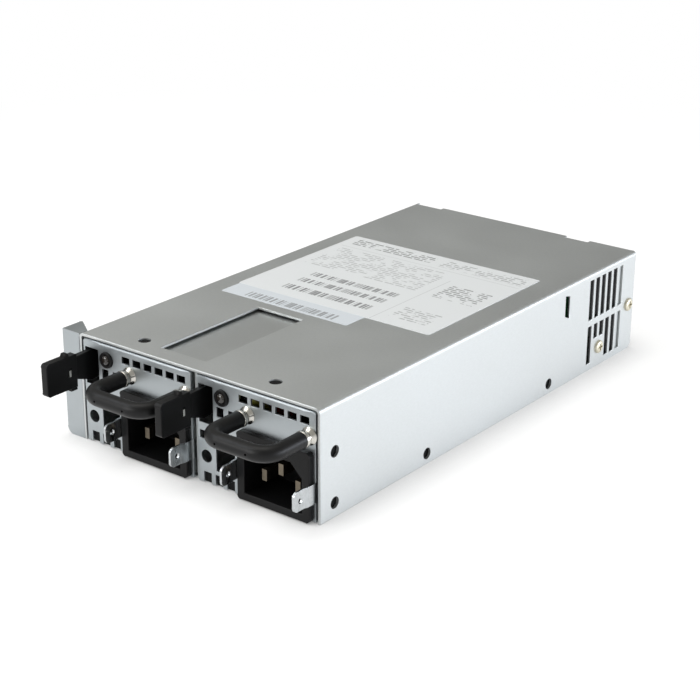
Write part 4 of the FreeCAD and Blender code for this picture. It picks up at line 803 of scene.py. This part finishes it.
class PSU_OT_pin_levers(bpy.types.Operator):
    """Press the bright pin into the slot of each latch lever's finger tab"""
    bl_idname = "psu.pin_levers"
    bl_label = "Pin the latch levers"

    def execute(self, context):
        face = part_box("module_1_front_plate")[0].y
        points = [v.co for v in frame["nodes"]["module_1_latch_lever"].data.vertices]
        tab = [point for point in points if point.y < face - TAB_REACH * MM]
        left, right = min(point.x for point in tab), max(point.x for point in tab)
        middle = (min(point.z for point in tab) + max(point.z for point in tab)) / 2
        front, back = (face - reach * MM for reach in PIN_REACHES)
        foot, head = (middle + level * MM for level in PIN_LEVELS)
        pin = block((left + PIN_SINK * MM, front, foot), (right + PIN_RISE * MM, back, head))
        settle_in_modules(pin, "lever_pin", "bright_steel", body="latch")
        return {"FINISHED"}


# Radius of the grip's bends, as a multiple of the bar's radius.
GRIP_BEND = 2.2


class PSU_OT_fit_grips(bpy.types.Operator):
    """Sweep the soft U grip of each module, with its pin holes and notch"""
    bl_idname = "psu.fit_grips"
    bl_label = "Fit the handle grips"

    def execute(self, context):
        sizes = context.scene.psu_grip
        low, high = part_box("module_1_handle_grip")
        radius = (high.z - low.z) / 2
        bend = radius * GRIP_BEND
        left, right, bar, level = low.x + radius, high.x - radius, low.y + radius, (low.z + high.z) / 2
        begin(bpy.ops.mesh.primitive_circle_add, vertices=sizes.sides, radius=radius, fill_type="NGON",
              location=(left, high.y, level), rotation=FRONT)
        bpy.ops.mesh.select_all(action="SELECT")
        reach = high.y - bar - bend
        steps = ((0, -reach, 0), (right - left - 2 * bend, 0, 0), (0, reach, 0))
        bpy.ops.mesh.extrude_region_move(TRANSFORM_OT_translate={"value": steps[0]})
        for x, step in zip((left + bend, right - bend), steps[1:]):
            bpy.ops.mesh.spin(steps=12, angle=-math.pi / 2, center=(x, bar + bend, level), axis=(0, 0, 1))
            bpy.ops.mesh.extrude_region_move(TRANSFORM_OT_translate={"value": step})
        grip = close_edit()
        for x in (left + sizes.pin_inset, right - sizes.pin_inset):
            rings = [(0, sizes.pin_hole), (sizes.pin_depth, sizes.pin_hole)]
            carve(grip, turned((x, bar - radius - 0.2 * MM, level), (0, 1, 0), rings, sides=12))
        at = left + sizes.notch_inset
        carve(grip, block((at, bar + radius * 0.55, level + radius * 0.35),
                          (at + sizes.notch, bar + radius * 1.4, level + radius * 1.4)))
        settle_in_modules(grip, "grip_sleeve", "handle_rubber", "handle_grip")
        return {"FINISHED"}


class PSU_OT_fit_ferrules(bpy.types.Operator):
    """Turn the bright ferrules that hold the grips to the front plates"""
    bl_idname = "psu.fit_ferrules"
    bl_label = "Fit the ferrules"

    def execute(self, context):
        sizes = context.scene.psu_grip
        flange, waist, collar = sizes.flange, sizes.waist, sizes.collar
        low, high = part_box("module_1_handle_grip")
        radius = (high.z - low.z) / 2
        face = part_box("module_1_front_plate")[0].y
        gap = face - high.y
        rings = [(0, flange), (0.4 * MM, flange), (0.7 * MM, flange * 0.9), (1.6 * MM, waist),
                 (gap - 0.5 * MM, waist * 1.1), (gap - 0.1 * MM, collar * 0.97), (gap + 0.1 * MM, collar),
                 (gap + 1.0 * MM, collar), (gap + 1.2 * MM, collar * 0.95)]
        left = turned((low.x + radius, face, (low.z + high.z) / 2), (0, -1, 0), rings, sizes.sides)
        right = copied(left, (high.x - low.x - 2 * radius, 0, 0))
        settle_in_modules(left, "left_ferrule", "bright_steel", "handle_ferrules")
        settle_in_modules(right, "right_ferrule", "bright_steel")
        return {"FINISHED"}


class PSU_OT_fit_lamps(bpy.types.Operator):
    """Turn the status lamp's black holder and its smoked dome"""
    bl_idname = "psu.fit_lamps"
    bl_label = "Fit the status lamps"

    def execute(self, context):
        sizes = context.scene.psu_lamp
        low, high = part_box("module_1_lamp_holder")
        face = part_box("module_1_front_plate")[0].y
        centre = Vector(((low.x + high.x) / 2, face, (low.z + high.z) / 2))
        rim, reach = (high.z - low.z) / 2, face - low.y
        inner, seat = sizes.dome + sizes.play, reach - sizes.seat
        rings = [(0, rim), (reach * 0.6, rim), (reach * 0.9, rim * 0.96), (reach, rim * 0.88),
                 (reach, inner * 1.12), (reach * 0.9, inner * 1.03), (seat, inner)]
        holder = turned(centre, (0, -1, 0), rings, sides=32)
        settle_in_modules(holder, "lamp_bezel", "black_moulding", "lamp_holder")
        rings = [(seat - 0.1 * MM, sizes.dome)]
        for step in range(8):
            angle = step * math.pi / 2 / 7
            rings.append((seat + sizes.dome_reach * math.sin(angle),
                          max(sizes.dome * math.cos(angle), 0.03 * MM)))
        dome = turned(centre, (0, -1, 0), rings, sides=24)
        settle_in_modules(dome, "lamp_dome", "lamp_lens", "lamp_lens")
        return {"FINISHED"}


COVER_LOW, COVER_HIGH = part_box("cage_cover")
EAR_SHEET = 1.0
SIDE_SCREWS = ((72.9, 7.9), (94.6, 19.1))
EAR_SCREWS = ((-91.6, 5.2), (-91.6, 23.2))
# The way along X that each group of screws faces, the face under their heads, and their places on it.
SCREW_PLACES = {
    "right_side": (1, COVER_HIGH.x, SIDE_SCREWS),
    "left_side": (-1, COVER_LOW.x, SIDE_SCREWS),
    "ear": (-1, COVER_LOW.x - EAR_SHEET * MM, EAR_SCREWS),
}


def model_screw(place, direction, sizes):
    """A pan head screw with a cross recess, its seat at place."""
    head, rise = sizes.head, sizes.rise
    rings = [(0, head), (rise * 0.45, head), (rise * 0.72, head * 0.93), (rise * 0.9, head * 0.78),
             (rise, head * 0.55)]
    screw = turned(place, direction, rings, sides=28)
    top = Vector(place) + Vector(direction) * rise
    deep = rise * 0.6
    for across in ((sizes.recess, sizes.recess_width), (sizes.recess_width, sizes.recess)):
        half = Vector((deep, across[0] / 2, across[1] / 2))
        carve(screw, block(top - half, top + half))
    return screw


class PSU_OT_drive_screws(bpy.types.Operator):
    """Drive the pan head screws into the cage's sides and its ear"""
    bl_idname = "psu.drive_screws"
    bl_label = "Drive the screws"

    def execute(self, context):
        for group, (way, face, places) in SCREW_PLACES.items():
            spots = [Vector((face, y * MM, z * MM)) for y, z in places]
            screws = [model_screw(spots[0], (way, 0, 0), context.scene.psu_screw)]
            for spot in spots[1:]:
                screws.append(copied(screws[0], spot - spots[0]))
            for number, screw in enumerate(screws, 1):
                settle(screw, f"{group}_screw_{number}", "cage", "screw_zinc")
        return {"FINISHED"}


def model_label(left, front, width, depth, level, sizes):
    """A thin label with rounded corners, lying at this level."""
    begin(bpy.ops.mesh.primitive_plane_add, size=1, location=(left + width / 2, front + depth / 2, level),
          scale=(width, depth, 1))
    bpy.ops.mesh.select_mode(type="VERT")
    bpy.ops.mesh.select_all(action="SELECT")
    bpy.ops.mesh.bevel(offset=sizes.corner, segments=4, affect="VERTICES")
    bpy.ops.mesh.select_mode(type="FACE")
    bpy.ops.mesh.select_all(action="SELECT")
    bpy.ops.mesh.extrude_region_move(TRANSFORM_OT_translate={"value": (0, 0, sizes.thickness)})
    return close_edit()


class PSU_OT_stick_labels(bpy.types.Operator):
    """Stick the two plain ruled labels on the cover"""
    bl_idname = "psu.stick_labels"
    bl_label = "Stick the labels"

    def execute(self, context):
        sizes = context.scene.psu_label
        low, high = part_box("cage_cover")
        left, front = low.x + sizes.left, low.y + sizes.front
        large = model_label(left, front, sizes.width, sizes.depth, high.z, sizes)
        settle(large, "cover_label_large", "cage", "label_paper")
        # The strip lies a little lower, so that the large label covers its rear edge.
        strip = model_label(left + sizes.strip_left, front - sizes.strip_depth + sizes.overlap,
                            sizes.strip_width, sizes.strip_depth, high.z - sizes.thickness * 0.4, sizes)
        settle(strip, "cover_label_strip", "cage", "label_strip")
        return {"FINISHED"}


LEAD_RADIUS = 0.95
# Each lead's route off the second front plate: from its left, behind it and down from its top.
LEADS = {
    "earth": [(20.0, 10.0, 13.0), (20.6, 3.4, 5.4), (21.8, 2.0, 4.4), (22.8, 3.8, 6.0), (23.2, 11.0, 11.0)],
    "live": [(25.4, 13.0, 12.0), (26.0, 6.6, 5.9), (27.0, 5.6, 5.2), (27.8, 7.0, 6.8), (28.4, 13.0, 11.0)],
}


def model_wire(points, radius):
    """A round wire through these points, as a mesh."""
    clear_selection()
    bpy.ops.curve.primitive_bezier_curve_add()
    curve = bpy.context.object
    data = curve.data
    data.splines.clear()
    line = data.splines.new("BEZIER")
    line.bezier_points.add(len(points) - 1)
    for knot, point in zip(line.bezier_points, points):
        knot.co = point
        knot.handle_left_type = knot.handle_right_type = "AUTO"
    data.dimensions = "3D"
    data.bevel_depth = radius
    data.bevel_resolution = 3
    data.use_fill_caps = True
    data.resolution_u = 8
    only(curve)
    bpy.ops.object.convert(target="MESH")
    bpy.ops.object.transform_apply(location=True, rotation=True, scale=True)
    bpy.ops.object.mode_set(mode="EDIT")
    return close_edit()


class PSU_OT_run_wires(bpy.types.Operator):
    """Run the short leads that show behind the second module's vents"""
    bl_idname = "psu.run_wires"
    bl_label = "Run the inner leads"

    def execute(self, context):
        low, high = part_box("module_2_front_plate")
        for name, route in LEADS.items():
            points = [(low.x + x * MM, high.y + y * MM, high.z - z * MM) for x, y, z in route]
            settle(model_wire(points, LEAD_RADIUS * MM), f"module_2_{name}_lead", "module_2",
                   name + "_wire")
        return {"FINISHED"}


class PSU_OT_finish_parts(bpy.types.Operator):
    """Give every plain part that still shows the finish of its slot"""
    bl_idname = "psu.finish_parts"
    bl_label = "Finish the plain parts"

    def execute(self, context):
        for name, part in frame["nodes"].items():
            if part.hide_render:
                continue
            for holder in part.material_slots:
                holder.material = finish(look_of(name))
        return {"FINISHED"}


# Stage.

CAMERA_PLACE = (0.35504, -0.47325, 0.25092)
CAMERA_RIGHT = (0.78882685, 0.61459767, 0.00468069)
CAMERA_DOWN = (0.23044039, -0.28868953, -0.92927692)
CAMERA_LENS = 87.78
FLOOR_GREY = (0.42, 0.42, 0.42, 1.0)
FLOOR_GLOW = 0.69
# The glow left where the object stands, and how far its contact shadow reaches (mm).
CONTACT_GLOW = 0.22 * FLOOR_GLOW
CONTACT_REACH = 15.0
DIM_CORNER = (-0.3, 0.93, 0.21)
AIM = Vector((0, 0, 0.02))
FLOOR_SIZE = 12
# Each lamp's place, size across and up (m), power (W) and tint.
LIGHTS = {
    "right softbox": ((0.75, 0.3, 0.13), (0.9, 0.25), 4.6, "#eef4ff"),
    "top softbox": ((-0.15, -0.1, 0.95), (0.7, 0.7), 3.0, "#fffdf8"),
    "front fill": ((-0.35, -0.9, 0.45), (0.6, 0.4), 3.8, "#ffffff"),
    "upper left strip": ((-0.52, -0.4, 0.68), (0.35, 0.25), 1.4, "#f4f8ff"),
}


def stage_floor():
    """Pale floor: a glow that only camera and reflections see turns it white but for a contact shadow."""
    mix = Mixture("Pale studio floor", Roughness=0.9, Base_Color=FLOOR_GREY, Specular_IOR_Level=0.0)
    path = mix.add("ShaderNodeLightPath")
    seen = mix.combine("ADD", path["Is Camera Ray"], path["Is Glossy Ray"])
    seen = mix.combine("ADD", seen, path["Is Transmission Ray"], use_clamp=True)
    away = mix.add("ShaderNodeVectorMath", {0: mix.place}, operation="LENGTH")["Value"]
    plain = mix.combine("MULTIPLY", seen, mix.spread(away, start=0.16, end=0.5))
    open_sky = mix.add("ShaderNodeAmbientOcclusion", {"Distance": CONTACT_REACH * MM}, samples=8)["AO"]
    lift = mix.combine("MULTIPLY", seen, mix.spread(open_sky, low=CONTACT_GLOW, high=FLOOR_GLOW))
    glow = mix.add("ShaderNodeEmission", {"Color": WHITE, "Strength": lift})[0]
    near = mix.add("ShaderNodeAddShader", {0: mix.shader.outputs[0], 1: glow})[0]
    white = mix.add("ShaderNodeEmission", {"Color": WHITE, "Strength": 1.0})[0]
    both = mix.add("ShaderNodeMixShader", {0: plain, 1: near, 2: white})[0]
    mix.tree.links.new(both, mix.own("OUTPUT_MATERIAL").inputs["Surface"])
    return mix.material


def stage_world():
    """White to the camera; for light and reflections a pale room with a dim corner behind the object."""
    world = bpy.data.worlds.new("Pale room")
    world.use_nodes = True
    mix = Nodes(world.node_tree)
    way = mix.add("ShaderNodeTexCoord")["Generated"]
    height = mix.spread(mix.add("ShaderNodeSeparateXYZ", {0: way})["Z"], start=0.05, end=0.34)
    corner = mix.add("ShaderNodeVectorMath", {0: way, 1: DIM_CORNER}, operation="DOT_PRODUCT")["Value"]
    room = mix.own("BACKGROUND")
    tone = mix.blend(height, solid(linear("#f2f4f6")), solid(linear("#b8b7b2")))
    mix.tree.links.new(tone, room.inputs["Color"])
    dim = mix.spread(corner, start=0.72, end=0.97, low=0.92, high=0.42)
    mix.tree.links.new(dim, room.inputs["Strength"])
    plain = mix.add("ShaderNodeBackground", {"Color": WHITE, "Strength": 1.0})[0]
    seen = mix.add("ShaderNodeLightPath")["Is Camera Ray"]
    both = mix.add("ShaderNodeMixShader", {0: seen, 1: room.outputs[0], 2: plain})[0]
    mix.tree.links.new(both, mix.own("OUTPUT_WORLD").inputs["Surface"])
    return world


class PSU_OT_set_stage(bpy.types.Operator):
    """Lay the floor, hang the lights and place the camera"""
    bl_idname = "psu.set_stage"
    bl_label = "Set the stage"

    def execute(self, context):
        scene = context.scene
        clear_selection()
        bpy.ops.mesh.primitive_plane_add(size=FLOOR_SIZE, location=(0, 0, 0))
        floor = context.object
        floor.name = "studio_floor"
        floor.data.materials.append(stage_floor())
        for name, (place, size, power, tint) in LIGHTS.items():
            turn = (AIM - Vector(place)).to_track_quat("-Z", "Y").to_euler()
            bpy.ops.object.light_add(type="AREA", location=place, rotation=turn)
            lamp = context.object
            lamp.name = lamp.data.name = name
            lamp.data.shape = "RECTANGLE"
            lamp.data.size, lamp.data.size_y = size
            lamp.data.energy = power
            lamp.data.color = linear(tint)
        scene.world = stage_world()
        scene.view_settings.view_transform = "Standard"
        right, down = Vector(CAMERA_RIGHT), Vector(CAMERA_DOWN)
        turn = Matrix((right, -down, -right.cross(down))).transposed()
        bpy.ops.object.camera_add(location=CAMERA_PLACE, rotation=turn.to_euler())
        camera = context.object
        camera.data.lens = CAMERA_LENS
        camera.data.sensor_width = 36.0
        camera.data.clip_start = 0.01
        scene.camera = camera
        return {"FINISHED"}


OPERATORS = (PSU_OT_press_parts, PSU_OT_line_openings, PSU_OT_pin_levers, PSU_OT_fit_grips,
             PSU_OT_fit_ferrules, PSU_OT_fit_lamps, PSU_OT_drive_screws, PSU_OT_stick_labels,
             PSU_OT_run_wires, PSU_OT_finish_parts, PSU_OT_set_stage)


class PSU_PT_dresser(bpy.types.Panel):
    """Lists the dressing steps and their settings"""
    bl_label = "Power Supply"
    bl_idname = "PSU_PT_dresser"
    bl_space_type = "VIEW_3D"
    bl_region_type = "UI"
    bl_category = "Power Supply"

    def draw(self, context):
        for operator in OPERATORS:
            self.layout.operator(operator.bl_idname)
        for group in SETTINGS:
            settings = getattr(context.scene, group)
            box = self.layout.box()
            for name in settings.__annotations__:
                box.prop(settings, name)


def register():
    """Register the settings, operators and panel."""
    for name, settings in SETTINGS.items():
        bpy.utils.register_class(settings)
        setattr(bpy.types.Scene, name, PointerProperty(type=settings))
    for step in (*OPERATORS, PSU_PT_dresser):
        bpy.utils.register_class(step)


def unregister():
    """Remove everything that register added."""
    for step in reversed((*OPERATORS, PSU_PT_dresser)):
        bpy.utils.unregister_class(step)
    for name, settings in SETTINGS.items():
        delattr(bpy.types.Scene, name)
        bpy.utils.unregister_class(settings)


def main():
    """Run every step in order."""
    register()
    for operator in OPERATORS:
        group, name = operator.bl_idname.split(".")
        getattr(getattr(bpy.ops, group), name)()


if __name__ == "__main__":
    main()
